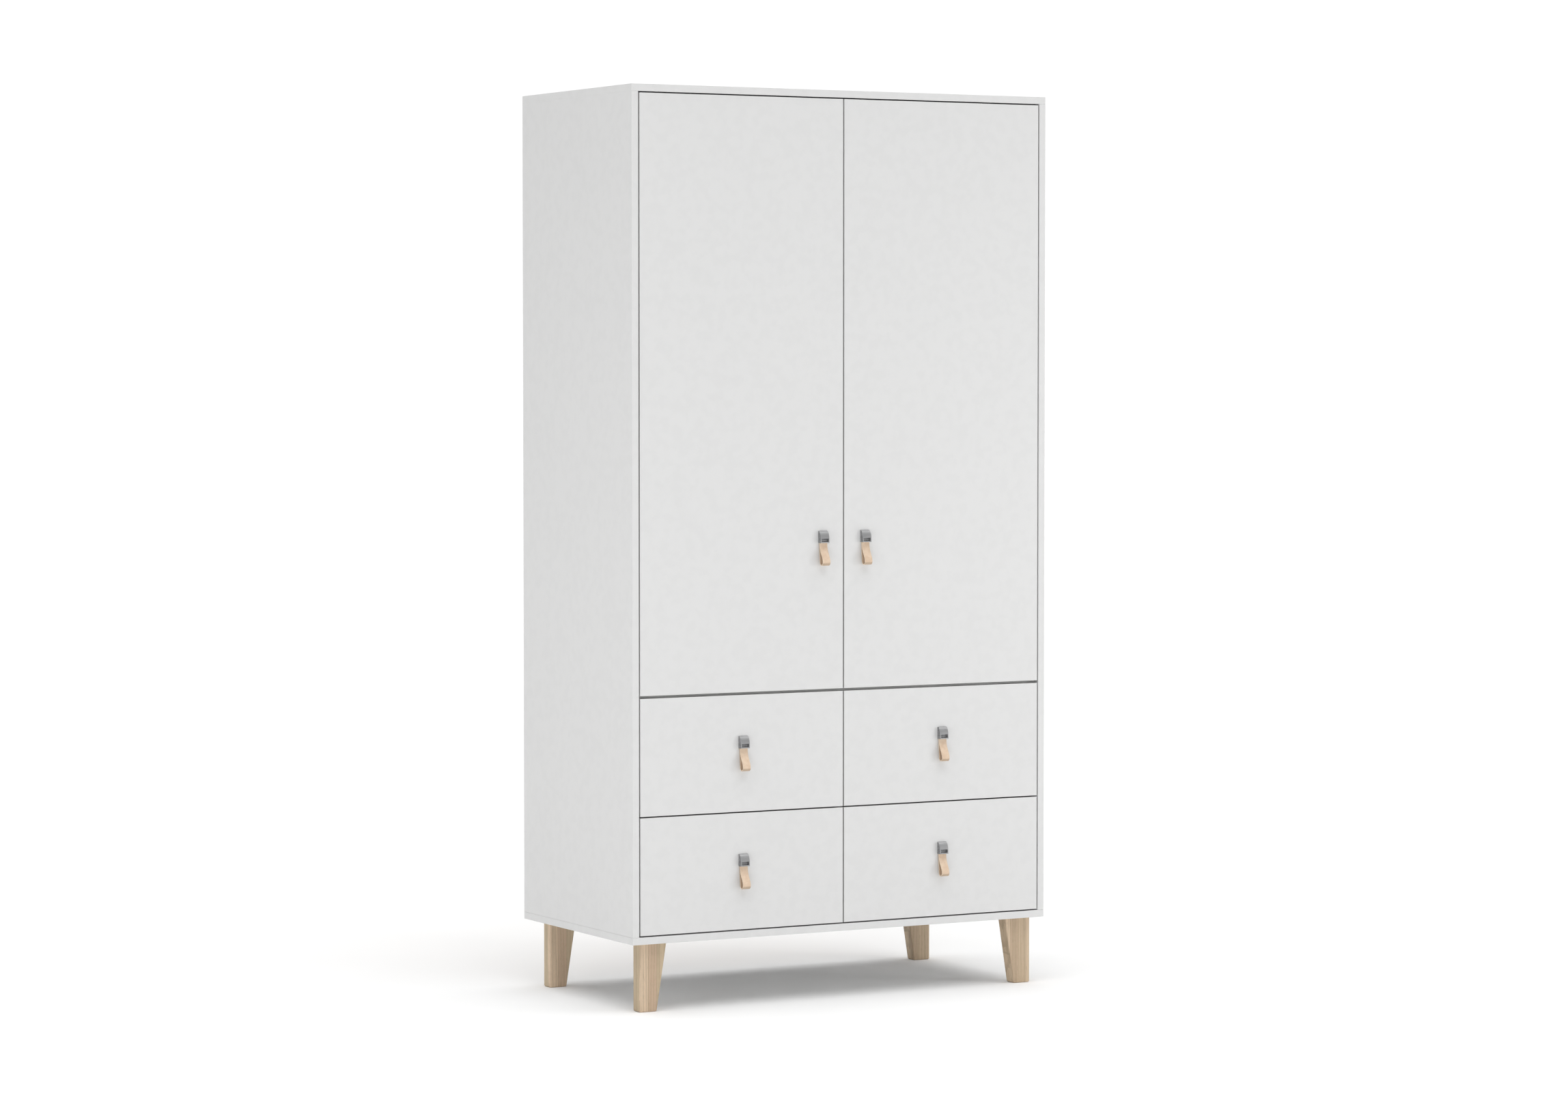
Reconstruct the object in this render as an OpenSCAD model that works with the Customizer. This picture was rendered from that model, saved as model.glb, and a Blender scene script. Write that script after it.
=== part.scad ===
// Two-door wardrobe with four drawers below, on four tapered wooden legs.
// Millimetres, +Z up. The front faces -Y. The origin is on the floor, under
// the centre of the whole wardrobe with its handles.

/* [Carcass] */
// Overall width of the carcass
carcass_w = 1050; // [860:5:1300]
// Overall depth of the carcass, without the handles
carcass_d = 540; // [480:5:660]
// Height of the carcass, without the legs
carcass_h = 1860; // [1500:10:2240]
// Thickness of the carcass boards
board_t = 16; // [15:1:20]
// Thickness of the back panels
back_t = 3; // [3:0.5:4]
// How far the back panels stand in from the rear edges
back_inset = 10; // [6:1:20]
// Depth of the grooves that hold the back panels and drawer bottoms
groove_d = 6; // [4:0.5:8]

/* [Fronts] */
// Thickness of the doors and drawer fronts
front_t = 16; // [15:1:22]
// Gap round every door and drawer front
front_gap = 3; // [2:0.5:4]
// Gap between the upper drawers and the doors, which shows the shelf's edge
shelf_reveal = 6; // [4:0.5:10]
// Height of one drawer front
drawer_front_h = 256; // [225:1:300]
// Free depth between the back of a closed front and the boards behind it
bumper_gap = 2; // [1:0.5:4]

/* [Inside] */
// Free height above the hat shelf
hat_space_h = 240; // [200:5:320]
// How far the hat shelf stands back from the closed doors
hat_shelf_setback = 40; // [20:5:120]
// Outer diameter of the hanging rail
rail_d = 25; // [20:1:30]
// Wall of the hanging rail
rail_wall = 1.2; // [1:0.1:2]
// Distance from the hat shelf down to the middle of the rail
rail_drop = 45; // [35:1:70]

/* [Drawers] */
// Thickness of the drawer box boards
box_t = 12; // [10:1:15]
// Height of the drawer box
box_h = 180; // [140:5:185]
// Depth of the drawer box behind its front, and length of its slides
box_d = 450; // [350:10:450]
// Height of the drawer box above the lower edge of its front
box_lift = 25; // [15:1:40]
// Thickness of the drawer bottom
drawer_bottom_t = 3; // [3:0.5:4]
// Space for a slide between the drawer box and the board beside it
slide_gap = 13; // [12.5:0.5:15]
// Height of a slide's cabinet member
slide_h = 35; // [27:1:45]

/* [Doors] */
// Hinges on each door
hinge_count = 3; // [2:1:4]
// Distance from a door's end to the middle of its nearest hinge
hinge_end = 100; // [70:5:160]
// Diameter of a hinge cup
cup_d = 35; // [26:1:40]
// Depth of a hinge cup in its door
cup_depth = 12.7; // [10:0.1:13]
// Wood left between a hinge cup and the door's edge
cup_edge = 4; // [3:0.5:6]

/* [Handles] */
// Width of a handle's metal cap
cap_w = 22; // [21:1:30]
// Height of a handle's metal cap
cap_h = 27; // [24:1:34]
// How far the cap stands out from its front
cap_out = 12; // [9:0.5:16]
// Width of the leather strap
strap_w = 19; // [15:0.5:20]
// Thickness of the leather strap
strap_t = 2; // [1.5:0.1:2.4]
// Height of the whole handle
handle_h = 77; // [72:1:95]
// How far the strap's loop stands out from its front
loop_out = 19; // [17:0.5:24]
// Distance from a door's meeting edge to the middle of its handle
handle_edge = 52; // [40:1:80]
// Height of the top of a door's handle above the door's lower edge
door_handle_top = 350; // [200:10:700]

/* [Legs] */
// Height of the legs
leg_h = 150; // [120:5:200]
// Width of a leg at the carcass
leg_top_w = 66; // [55:1:90]
// Width of a leg at the floor
leg_foot_w = 42; // [30:1:54]
// Depth of a leg
leg_d = 32; // [28:1:45]
// Radius of a leg's lower corners
leg_corner_r = 4; // [2:0.5:8]
// Distance from the carcass's side to a leg
leg_side = 26; // [10:1:60]
// Distance from the carcass's front to the front legs
leg_front = 18; // [5:1:60]
// Distance from the carcass's rear to the rear legs
leg_rear = 47; // [20:1:90]

/* [Fixings] */
// Diameter of a cam
cam_d = 15; // [12:1:16]
// Depth of a cam in its board
cam_depth = 12.5; // [10:0.5:12.5]
// Distance from a board's end to the middle of its cams
cam_setback = 24; // [20:1:34]
// Diameter of a cam's bolt
cam_bolt_d = 7; // [5:0.5:7.5]
// How far a cam's bolt enters the board that it holds
cam_bolt_reach = 10; // [8:0.5:12]
// Distance from a board's front or rear edge to its first cam
cam_edge = 55; // [40:5:90]
// Shank diameter of a leg screw
leg_screw_d = 5; // [4:0.5:6]
// Length of a leg screw
leg_screw_l = 60; // [45:5:70]
// Space between the two wall brackets
bracket_span = 800; // [500:10:800]
// Diameter of the hole for a wall screw
wall_hole_d = 5.5; // [4:0.5:7]

/* [Hidden] */
$fn = 48;

// Clearances and small allowances
fixing_clear = 0.1;    // round a cam, bolt or screw in its hole
groove_clear = 0.2;    // on each side of a panel in its groove
groove_play = 1;       // between a panel's edge and the bottom of its groove
strap_clear = 0.2;     // round the strap inside its cap
rail_clear = 0.15;     // round the rail in its sockets
cup_clear = 0.1;       // round a hinge cup in its door
through = 1;           // extra length of a cut that goes right through

// Places of the carcass in the frame
front_y = (loop_out - carcass_d) / 2;
back_y = front_y + carcass_d;
right_x = carcass_w / 2;
left_x = -right_x;
base_z = leg_h;
top_z = leg_h + carcass_h;
floor_z = base_z + board_t;             // upper face of the bottom panel
ceiling_z = top_z - board_t;            // lower face of the top panel
inner_w = carcass_w - 2 * board_t;
side_h = carcass_h - 2 * board_t;
inner_y0 = front_y + front_t + bumper_gap;        // front edge of the inner boards
back_panel_y = back_y - back_inset - back_t;      // front face of the back panels
inner_d = back_panel_y - inner_y0;

// Fronts
front_w = (inner_w - 3 * front_gap) / 2;
function front_x(side) = side < 0 ? left_x + board_t + front_gap : front_gap / 2;
function front_z(row) = floor_z + front_gap + row * (drawer_front_h + front_gap);
door_z = front_z(1) + drawer_front_h + shelf_reveal;
door_h = ceiling_z - front_gap - door_z;
shelf_z = door_z - shelf_reveal / 2 - board_t / 2;       // lower face of the middle shelf
split_z = shelf_z + board_t / 2;                         // where the back panels meet
hat_z = ceiling_z - hat_space_h - board_t;               // lower face of the hat shelf
hat_y = inner_y0 + hat_shelf_setback;

// Hanging rail and its sockets
rail_y = front_y + carcass_d / 2;
rail_z = hat_z - rail_drop;
socket_base_t = 3;
socket_base_d = rail_d + 22;
socket_wall = 2.4;
socket_depth = 14;
rail_end_gap = 0.5;

// Drawer boxes
opening_w = (inner_w - board_t) / 2;
box_w = opening_w - 2 * slide_gap;
box_y = front_y + front_t;
bottom_lift = 10;                        // from the box's lower edge to its bottom
function opening_x(side) = side < 0 ? left_x + board_t : board_t / 2;
function box_x(side) = opening_x(side) + slide_gap;
function box_z(row) = front_z(row) + box_lift;

// Slides: the cabinet member is an open channel, the drawer member nests in it
slide_steel = 1.2;
slide_front = 3;                         // cabinet member behind the drawer's front
slide_lift = 60;                         // from the box's lower edge to the slide's middle
channel_w = slide_gap - 3.5;             // depth of the cabinet member
lip_h = 3.3;                             // height of the channel's lips
inner_member_h = slide_h - 2 * slide_steel - 2 * lip_h - 7.6;
member_gap = 3.5;                        // from the board to the drawer member

// Hinges, in a plan seen from above: u runs from the side panel to the door's free
// edge, and v runs from the front plane into the wardrobe
cup_u = front_gap + cup_edge + cup_d / 2;
cup_wall = 1;
flange_t = 1.2;
flange_r = cup_d / 2 + 2;
wing_w = 16;
wing_h = 56;
arm_w = 16;
arm_steel = 1.5;
plate_t = 4;
plate_v = 37;                            // front end of the mounting plate
plate_l = 52;
plate_h = 46;
arm_tip_u = [16.5, 23];                  // the arm's tip inside the cup
arm_tip_v = front_t - 1.25;
hinge_z = [for (i = [0:hinge_count - 1])
    door_z + hinge_end + i * (door_h - 2 * hinge_end) / (hinge_count - 1)];

// Handles
handle_half = handle_h / 2;
cap_root = 1;                            // the cap's depth along its upper edge
cap_curve_h = cap_h - 3;                 // height over which the cap swells
cap_steps = 14;
cheek = 2.2;                             // cheeks beside the cap's recess
recess_top = 17;                         // upper edge of the recess, from the cap's top
recess_h = 7.6;
recess_d = 5.5;
strap_off = 1;                           // between the strap's rear leaf and the front
strap_end = 9;                           // strap's upper end, from the cap's top
loop_r = 6.5;                            // strap's fold, at the middle of the leather
leaf_steps = 16;
loop_centre = [loop_out - strap_t / 2 - loop_r, strap_t / 2 + loop_r - handle_h];
loop_open = 0.16;                        // share of a leaf that stays pressed together

// Legs
leg_y = [front_y + leg_front, back_y - leg_rear - leg_d];
leg_screw_step = 30;                     // between a leg's two screws
leg_screw_in = 17;                       // from the leg's outer face to its first screw
screw_head_r = leg_screw_d;
screw_head_h = 3;

// Wall brackets
bracket_w = 40;
bracket_leg = 34;
bracket_t = 2;
bracket_hole = 20;                       // from the bracket's corner to its holes
bracket_screw_r = 2;
bracket_screw_l = 12;
bracket_head_r = 4;
bracket_head_h = 2;

SIDES = [-1, 1];
ROWS = [0, 1];
DRAWER_PARTS = ["front", "left_side", "right_side", "back", "bottom", "runners",
    "handle_cap", "handle_strap"];
DOOR_PARTS = ["panel", "hinge_cups", "handle_cap", "handle_strap"];
function side_name(side) = side < 0 ? "left" : "right";
function row_name(row) = row == 0 ? "lower" : "upper";
function drawer_name(side, row, part) = str(row_name(row), "_", side_name(side), "_drawer_", part);
function door_name(side, part) = str(side_name(side), "_door_", part);

// ---- Cam fasteners ------------------------------------------------------
// A cam stands in the board that ends at z = 0, with its mouth towards +X, and its
// bolt goes up into the board that it holds.

module cam_fastener() {
    difference() {
        translate([board_t / 2 - cam_depth, 0, -cam_setback])
            rotate([0, 90, 0])
            cylinder(h = cam_depth, d = cam_d);
        translate([0, 0, -cam_setback])
            cylinder(h = cam_d, d = cam_bolt_d + 2 * fixing_clear);
        translate([board_t / 2 - 1.5, -cam_d / 3, -cam_setback - 0.7])
            cube([through + 1.5, 2 * cam_d / 3, 1.4]);
    }
    translate([0, 0, -cam_setback + 2])
        cylinder(h = cam_setback - 2 + cam_bolt_reach, d = cam_bolt_d);
}

module cam_holes() {
    translate([board_t / 2 - cam_depth - fixing_clear, 0, -cam_setback])
        rotate([0, 90, 0])
        cylinder(h = cam_depth + fixing_clear + through, d = cam_d + 2 * fixing_clear);
    translate([0, 0, -cam_setback])
        cylinder(h = cam_setback + cam_bolt_reach + fixing_clear,
                 d = cam_bolt_d + 2 * fixing_clear);
}

// Two cams along the depth of a board that starts at y0
function cam_rows(y0) = [y0 + cam_edge, back_panel_y - cam_edge];

// Each spot is a place on the joint and a turn that lays the cam into it
function side_cams(side, end) = [for (y = cam_rows(front_y))
    [[side * (right_x - board_t / 2), y, end > 0 ? ceiling_z : floor_z],
     [end > 0 ? 0 : 180, 0, side < 0 ? 0 : 180]]];
function shelf_cams(side, y0, z) = [for (y = cam_rows(y0))
    [[side * inner_w / 2, y, z + board_t / 2], [0, 90, side < 0 ? 180 : 0]]];
function divider_cams(end) = [for (y = cam_rows(inner_y0))
    [[0, y, end > 0 ? shelf_z : floor_z], [end > 0 ? 0 : 180, 0, 0]]];

module at_cams(spots)
    for (spot = spots)
        translate(spot[0]) rotate(spot[1]) children();

// ---- Carcass boards -----------------------------------------------------

module panel_colour() color([0.93, 0.93, 0.92]) children();

// The groove that the back panels stand in, cut along the inner edges of the boards
module back_groove()
    translate([-inner_w / 2 - groove_d, back_panel_y - groove_clear, floor_z - groove_d])
    cube([inner_w + 2 * groove_d, back_t + 2 * groove_clear,
          ceiling_z - floor_z + 2 * groove_d]);

module top_panel() panel_colour() difference() {
    translate([left_x, front_y, ceiling_z])
        cube([carcass_w, carcass_d, board_t]);
    back_groove();
    for (side = SIDES)
        at_cams(side_cams(side, 1)) cam_holes();
    at_brackets() bracket_screw_hole();
}

module bottom_panel() panel_colour() difference() {
    translate([left_x, front_y, base_z])
        cube([carcass_w, carcass_d, board_t]);
    back_groove();
    for (side = SIDES)
        at_cams(side_cams(side, -1)) cam_holes();
    at_cams(divider_cams(-1)) cam_holes();
    at_leg_screws() leg_screw_hole();
}

module side_panel(side) panel_colour() difference() {
    translate([side < 0 ? left_x : right_x - board_t, front_y, floor_z])
        cube([board_t, carcass_d, side_h]);
    back_groove();
    at_cams(side_cams(side, 1)) cam_holes();
    at_cams(side_cams(side, -1)) cam_holes();
    at_cams(shelf_cams(side, inner_y0, shelf_z)) cam_holes();
    at_cams(shelf_cams(side, hat_y, hat_z)) cam_holes();
}

module middle_shelf() panel_colour() difference() {
    translate([-inner_w / 2, inner_y0, shelf_z])
        cube([inner_w, inner_d, board_t]);
    for (side = SIDES)
        at_cams(shelf_cams(side, inner_y0, shelf_z)) cam_holes();
    at_cams(divider_cams(1)) cam_holes();
}

module hat_shelf() panel_colour() difference() {
    translate([-inner_w / 2, hat_y, hat_z])
        cube([inner_w, back_panel_y - hat_y, board_t]);
    for (side = SIDES)
        at_cams(shelf_cams(side, hat_y, hat_z)) cam_holes();
}

module drawer_divider() panel_colour() difference() {
    translate([-board_t / 2, inner_y0, floor_z])
        cube([board_t, inner_d, shelf_z - floor_z]);
    at_cams(divider_cams(-1)) cam_holes();
    at_cams(divider_cams(1)) cam_holes();
}

// A back panel between two heights, held in the side panels' grooves
module back_sheet(z0, z1)
    translate([-inner_w / 2 - groove_d + groove_play, back_panel_y, z0])
    cube([inner_w + 2 * (groove_d - groove_play), back_t, z1 - z0]);

module upper_back_panel() color([0.88, 0.88, 0.87]) difference() {
    back_sheet(split_z, ceiling_z + groove_d - groove_play);
    at_brackets() wall_hole();
}

module lower_back_panel() color([0.88, 0.88, 0.87])
    back_sheet(floor_z - groove_d + groove_play, split_z);

module cam_fasteners() color([0.62, 0.62, 0.64]) {
    for (side = SIDES) {
        at_cams(side_cams(side, 1)) cam_fastener();
        at_cams(side_cams(side, -1)) cam_fastener();
        at_cams(shelf_cams(side, inner_y0, shelf_z)) cam_fastener();
        at_cams(shelf_cams(side, hat_y, hat_z)) cam_fastener();
    }
    at_cams(divider_cams(-1)) cam_fastener();
    at_cams(divider_cams(1)) cam_fastener();
}

// ---- Hanging rail -------------------------------------------------------

module hanging_rail() color([0.75, 0.76, 0.78])
    translate([-inner_w / 2 + socket_base_t + rail_end_gap, rail_y, rail_z])
    rotate([0, 90, 0])
    difference() {
        length = inner_w - 2 * (socket_base_t + rail_end_gap);
        cylinder(h = length, d = rail_d);
        translate([0, 0, -through])
            cylinder(h = length + 2 * through, d = rail_d - 2 * rail_wall);
    }

// A round base plate on the side panel with a short sleeve round the rail's end
module rail_socket() {
    cylinder(h = socket_base_t, d = socket_base_d);
    difference() {
        cylinder(h = socket_base_t + socket_depth, d = rail_d + 2 * (rail_clear + socket_wall));
        translate([0, 0, socket_base_t])
            cylinder(h = socket_depth + through, d = rail_d + 2 * rail_clear);
    }
}

module rail_sockets() color([0.68, 0.69, 0.71])
    for (side = SIDES)
        translate([side * inner_w / 2, rail_y, rail_z])
            rotate([0, -side * 90, 0])
            rail_socket();

// ---- Legs ---------------------------------------------------------------
// Elevation of a leg from its outer face (x = 0) towards the middle of the wardrobe.
// The outer face is upright and the inner one slants; both lower corners are round.

function arc(centre, r, a0, a1, steps) = [for (i = [0:steps])
    centre + r * [cos(a0 + (a1 - a0) * i / steps), sin(a0 + (a1 - a0) * i / steps)]];

module leg_profile() {
    slant = atan2(leg_top_w - leg_foot_w, leg_h);
    foot = leg_foot_w - leg_corner_r * tan((90 - slant) / 2);
    polygon(concat(
        [[0, leg_h]],
        arc([leg_corner_r, leg_corner_r], leg_corner_r, 180, 270, 6),
        arc([foot, leg_corner_r], leg_corner_r, 270, 360 - slant, 6),
        [[leg_top_w, leg_h]]));
}

// Puts a child at the outer front corner of a leg, running towards the middle
module at_leg(side, rear)
    translate([side * (right_x - leg_side), leg_y[rear], 0])
    mirror([side < 0 ? 0 : 1, 0, 0])
    children();

module leg(side, rear) color([0.80, 0.70, 0.57]) difference() {
    at_leg(side, rear)
        translate([0, leg_d, 0])
        rotate([90, 0, 0])
        linear_extrude(leg_d) leg_profile();
    at_leg_screws() leg_screw_hole();
}

module at_leg_screws()
    for (side = SIDES) for (rear = [0, 1]) for (i = [0, 1])
        at_leg(side, rear)
            translate([leg_screw_in + i * leg_screw_step, leg_d / 2, floor_z])
            children();

// Countersunk screw, head flush at z = 0 and shank pointing down
module leg_screw() {
    translate([0, 0, -screw_head_h])
        cylinder(h = screw_head_h, r1 = leg_screw_d / 2, r2 = screw_head_r);
    translate([0, 0, -leg_screw_l])
        cylinder(h = leg_screw_l - screw_head_h, d = leg_screw_d);
}

module leg_screw_hole() {
    translate([0, 0, -screw_head_h - fixing_clear])
        cylinder(h = screw_head_h + fixing_clear, r1 = leg_screw_d / 2 + fixing_clear,
                 r2 = screw_head_r + 2 * fixing_clear);
    translate([0, 0, -leg_screw_l - fixing_clear])
        cylinder(h = leg_screw_l, d = leg_screw_d + 2 * fixing_clear);
}

module leg_screws() color([0.72, 0.72, 0.74])
    at_leg_screws() leg_screw();

// ---- Wall brackets ------------------------------------------------------
// Each bracket's corner is under the top panel, against the upper back panel.

module at_brackets()
    for (side = SIDES)
        translate([side * bracket_span / 2, back_panel_y, ceiling_z])
        children();

module wall_hole()
    translate([0, back_t + through, -bracket_hole])
    rotate([90, 0, 0])
    cylinder(h = back_t + bracket_t + 2 * through, d = wall_hole_d);

module bracket_screw_hole()
    translate([0, -bracket_hole, -bracket_t - through])
    cylinder(h = bracket_t + through + bracket_screw_l + fixing_clear,
             r = bracket_screw_r + fixing_clear);

module wall_bracket() {
    difference() {
        union() {
            translate([-bracket_w / 2, -bracket_leg, -bracket_t])
                cube([bracket_w, bracket_leg, bracket_t]);
            translate([-bracket_w / 2, -bracket_t, -bracket_leg])
                cube([bracket_w, bracket_t, bracket_leg]);
        }
        wall_hole();
        bracket_screw_hole();
    }
    // Its screw into the top panel
    translate([0, -bracket_hole, -bracket_t - fixing_clear]) {
        cylinder(h = bracket_t + bracket_screw_l, r = bracket_screw_r);
        translate([0, 0, -bracket_head_h])
            cylinder(h = bracket_head_h, r = bracket_head_r);
    }
}

module wall_brackets() color([0.72, 0.72, 0.74])
    at_brackets() wall_bracket();

// ---- Hinges and doors ---------------------------------------------------

// Lays a shape drawn in the hinge plan (u, v) into the wardrobe, with its height
// centred on z
module in_plan(side, z, h)
    mirror([side < 0 ? 0 : 1, 0, 0])
    translate([-inner_w / 2, front_y, z - h / 2])
    linear_extrude(h) children();

// Puts a child at the middle of a hinge cup's mouth, with +Z out of the door's back
module at_cups(side)
    for (z = hinge_z)
        mirror([side < 0 ? 0 : 1, 0, 0])
        translate([-inner_w / 2 + cup_u, front_y + front_t, z])
        rotate([-90, 0, 0])
        children();

module hinge_cup()
    difference() {
        union() {
            translate([0, 0, -cup_depth])
                cylinder(h = cup_depth, d = cup_d);
            cylinder(h = flange_t, r = flange_r);
            translate([0, -wing_h / 2, 0])
                cube([wing_w, wing_h, flange_t]);
        }
        translate([0, 0, -cup_depth + cup_wall])
            cylinder(h = cup_depth + flange_t + through, d = cup_d - 4 * cup_wall);
    }

module door_hinge_cups(side) color([0.70, 0.71, 0.73])
    at_cups(side) hinge_cup();

module door_panel(side) panel_colour() difference() {
    translate([front_x(side), front_y, door_z])
        cube([front_w, front_t, door_h]);
    at_cups(side)
        translate([0, 0, -cup_depth - cup_clear])
        cylinder(h = cup_depth + cup_clear + through, d = cup_d + 2 * cup_clear);
}

// Outline of an arm: from its seat on the plate forwards into the cup
arm_back_v = plate_v + plate_l;
arm_seat_u = plate_t + 8;
arm_base_u = plate_t + fixing_clear;
module arm_outline()
    polygon([[arm_tip_u[0], arm_tip_v], [arm_tip_u[1], arm_tip_v],
             [arm_tip_u[1], front_t + 14], [arm_seat_u, plate_v + 8],
             [arm_seat_u, arm_back_v], [arm_base_u, arm_back_v], [arm_base_u, plate_v + 2],
             [arm_tip_u[0], front_t + 11]]);

// The part of the outline that its upper web leaves open, towards the side panel
module arm_hollow()
    polygon([[arm_tip_u[0] - through, front_t + 3], [arm_tip_u[1] - arm_steel, front_t + 3],
             [arm_tip_u[1] - arm_steel, front_t + 13.4],
             [arm_seat_u - arm_steel, plate_v + 7.4],
             [arm_seat_u - arm_steel, arm_back_v - 2], [plate_t, arm_back_v - 2],
             [plate_t, plate_v]]);

module hinge_arm(side, z) {
    difference() {
        in_plan(side, z, arm_w) arm_outline();
        in_plan(side, z, arm_w - 2 * arm_steel) arm_hollow();
    }
    in_plan(side, z, plate_h)
        translate([0, plate_v + 4])
        square([plate_t, plate_l - 12]);
}

module hinge_arms() color([0.70, 0.71, 0.73])
    for (side = SIDES) for (z = hinge_z)
        hinge_arm(side, z);

// ---- Handles ------------------------------------------------------------
// Drawn in a side view (q, z): q runs out from the front, z = 0 is the cap's top.

function on_curve(p, t) = p[0] * pow(1 - t, 3) + p[1] * 3 * t * pow(1 - t, 2)
    + p[2] * 3 * t * t * (1 - t) + p[3] * pow(t, 3);
function along(p, t) = (p[1] - p[0]) * pow(1 - t, 2) + (p[2] - p[1]) * 2 * t * (1 - t)
    + (p[3] - p[2]) * t * t;
function beside(p, t, off) = on_curve(p, t) + off / norm(along(p, t))
    * [-along(p, t)[1], along(p, t)[0]];

// The middle line of each leaf: the front one runs down and swells outwards, the rear
// one comes back up from the fold
front_leaf = [[strap_off + 1.5 * strap_t, -cap_h],
    [strap_off + 1.5 * strap_t, -cap_h - 0.54 * (handle_h - cap_h - loop_r)],
    [loop_centre[0] + loop_r, -cap_h - 0.67 * (handle_h - cap_h - loop_r)],
    [loop_centre[0] + loop_r, loop_centre[1]]];
rear_leaf = [[loop_centre[0] - loop_r, loop_centre[1]],
    [loop_centre[0] - loop_r - 0.4, loop_centre[1] + 11],
    [strap_off + strap_t / 2, -cap_h - 18],
    [strap_off + strap_t / 2, -cap_h]];

// One surface of the strap from leaf to leaf: off > 0 is outside, off < 0 inside
function strap_surface(off, t0, t1) = concat(
    [for (i = [0:leaf_steps - 1]) beside(front_leaf, t0 + (1 - t0) * i / leaf_steps, off)],
    arc(loop_centre, loop_r + off, 0, -180, leaf_steps),
    [for (i = [1:leaf_steps]) beside(rear_leaf, t1 * i / leaf_steps, off)]);

module strap_outline() difference() {
    polygon(concat(
        [[strap_off, -strap_end], [strap_off + 2 * strap_t, -strap_end]],
        strap_surface(strap_t / 2, 0, 1)));
    polygon(strap_surface(-strap_t / 2, loop_open, 1 - 1.3 * loop_open));
}

module cap_outline()
    polygon(concat(
        [[0, -cap_h], [0, 0]],
        [for (i = [0:cap_steps])
            [cap_root + (cap_out - cap_root) * sin(90 * i / cap_steps),
             -cap_curve_h * (1 - cos(90 * i / cap_steps))]],
        [[cap_out, -cap_h]]));

// Stands a side view up at a handle's place, as wide as w
module at_handle(x, z, w)
    translate([x + w / 2, front_y, z])
    rotate([90, 0, -90])
    linear_extrude(w) children();

module handle_cap(x, z) color([0.55, 0.56, 0.57]) difference() {
    at_handle(x, z, cap_w) cap_outline();
    at_handle(x, z, strap_w + 2 * strap_clear)
        translate([strap_off - strap_clear, -cap_h - through])
        square([2 * (strap_t + strap_clear), cap_h + through - strap_end + strap_clear]);
    at_handle(x, z, cap_w - 2 * cheek)
        translate([cap_out - recess_d, -recess_top - recess_h])
        square([recess_d + through, recess_h]);
}

module handle_strap(x, z) color([0.86, 0.73, 0.60])
    at_handle(x, z, strap_w) strap_outline();

function door_handle_x(side) = side * (front_gap / 2 + handle_edge);
function drawer_handle_x(side) = front_x(side) + front_w / 2;
function drawer_handle_z(row) = front_z(row) + drawer_front_h / 2 + handle_half;

// ---- Drawers ------------------------------------------------------------

module box_colour() color([0.90, 0.90, 0.89]) children();

// The groove round a drawer box that its bottom slides into
module bottom_groove(side, row)
    translate([box_x(side) + box_t - groove_d, box_y - groove_d,
               box_z(row) + bottom_lift - groove_clear])
    cube([box_w - 2 * box_t + 2 * groove_d, box_d + groove_d + through,
          drawer_bottom_t + 2 * groove_clear]);

module drawer_front(side, row) panel_colour() difference() {
    translate([front_x(side), front_y, front_z(row)])
        cube([front_w, front_t, drawer_front_h]);
    bottom_groove(side, row);
}

module drawer_side(side, row, edge) box_colour() difference() {
    translate([box_x(side) + (edge < 0 ? 0 : box_w - box_t), box_y, box_z(row)])
        cube([box_t, box_d, box_h]);
    bottom_groove(side, row);
}

module drawer_back(side, row) box_colour() {
    lift = bottom_lift + drawer_bottom_t;
    translate([box_x(side) + box_t, box_y + box_d - box_t, box_z(row) + lift])
        cube([box_w - 2 * box_t, box_t, box_h - lift]);
}

module drawer_bottom(side, row) color([0.88, 0.88, 0.87]) {
    reach = groove_d - groove_play;
    translate([box_x(side) + box_t - reach, box_y - reach, box_z(row) + bottom_lift])
        cube([box_w - 2 * box_t + 2 * reach, box_d + reach, drawer_bottom_t]);
}

// Section of a slide from the board (w = 0) to the drawer box, centred on its height
module cabinet_member() difference() {
    translate([0, -slide_h / 2])
        square([channel_w, slide_h]);
    translate([slide_steel, -slide_h / 2 + slide_steel])
        square([channel_w - 2 * slide_steel, slide_h - 2 * slide_steel]);
    translate([slide_steel, -slide_h / 2 + slide_steel + lip_h])
        square([channel_w, slide_h - 2 * (slide_steel + lip_h)]);
}

module drawer_member() difference() {
    translate([member_gap, -inner_member_h / 2])
        square([slide_gap - member_gap, inner_member_h]);
    translate([member_gap - through, -inner_member_h / 2 + slide_steel])
        square([slide_gap - member_gap - slide_steel + through,
                inner_member_h - 2 * slide_steel]);
}

// Runs a slide's section from y along both sides of a drawer's opening
module slide_pair(side, row, y, length)
    for (edge = [0, 1])
        translate([opening_x(side) + edge * opening_w, y + length, box_z(row) + slide_lift])
        mirror([edge, 0, 0])
        rotate([90, 0, 0])
        linear_extrude(length) children();

module drawer_runners(side, row) color([0.72, 0.73, 0.75])
    slide_pair(side, row, box_y, box_d) drawer_member();

module cabinet_runners() color([0.72, 0.73, 0.75])
    for (side = SIDES) for (row = ROWS)
        slide_pair(side, row, box_y + slide_front, box_d) cabinet_member();

// ---- Nodes --------------------------------------------------------------

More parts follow.
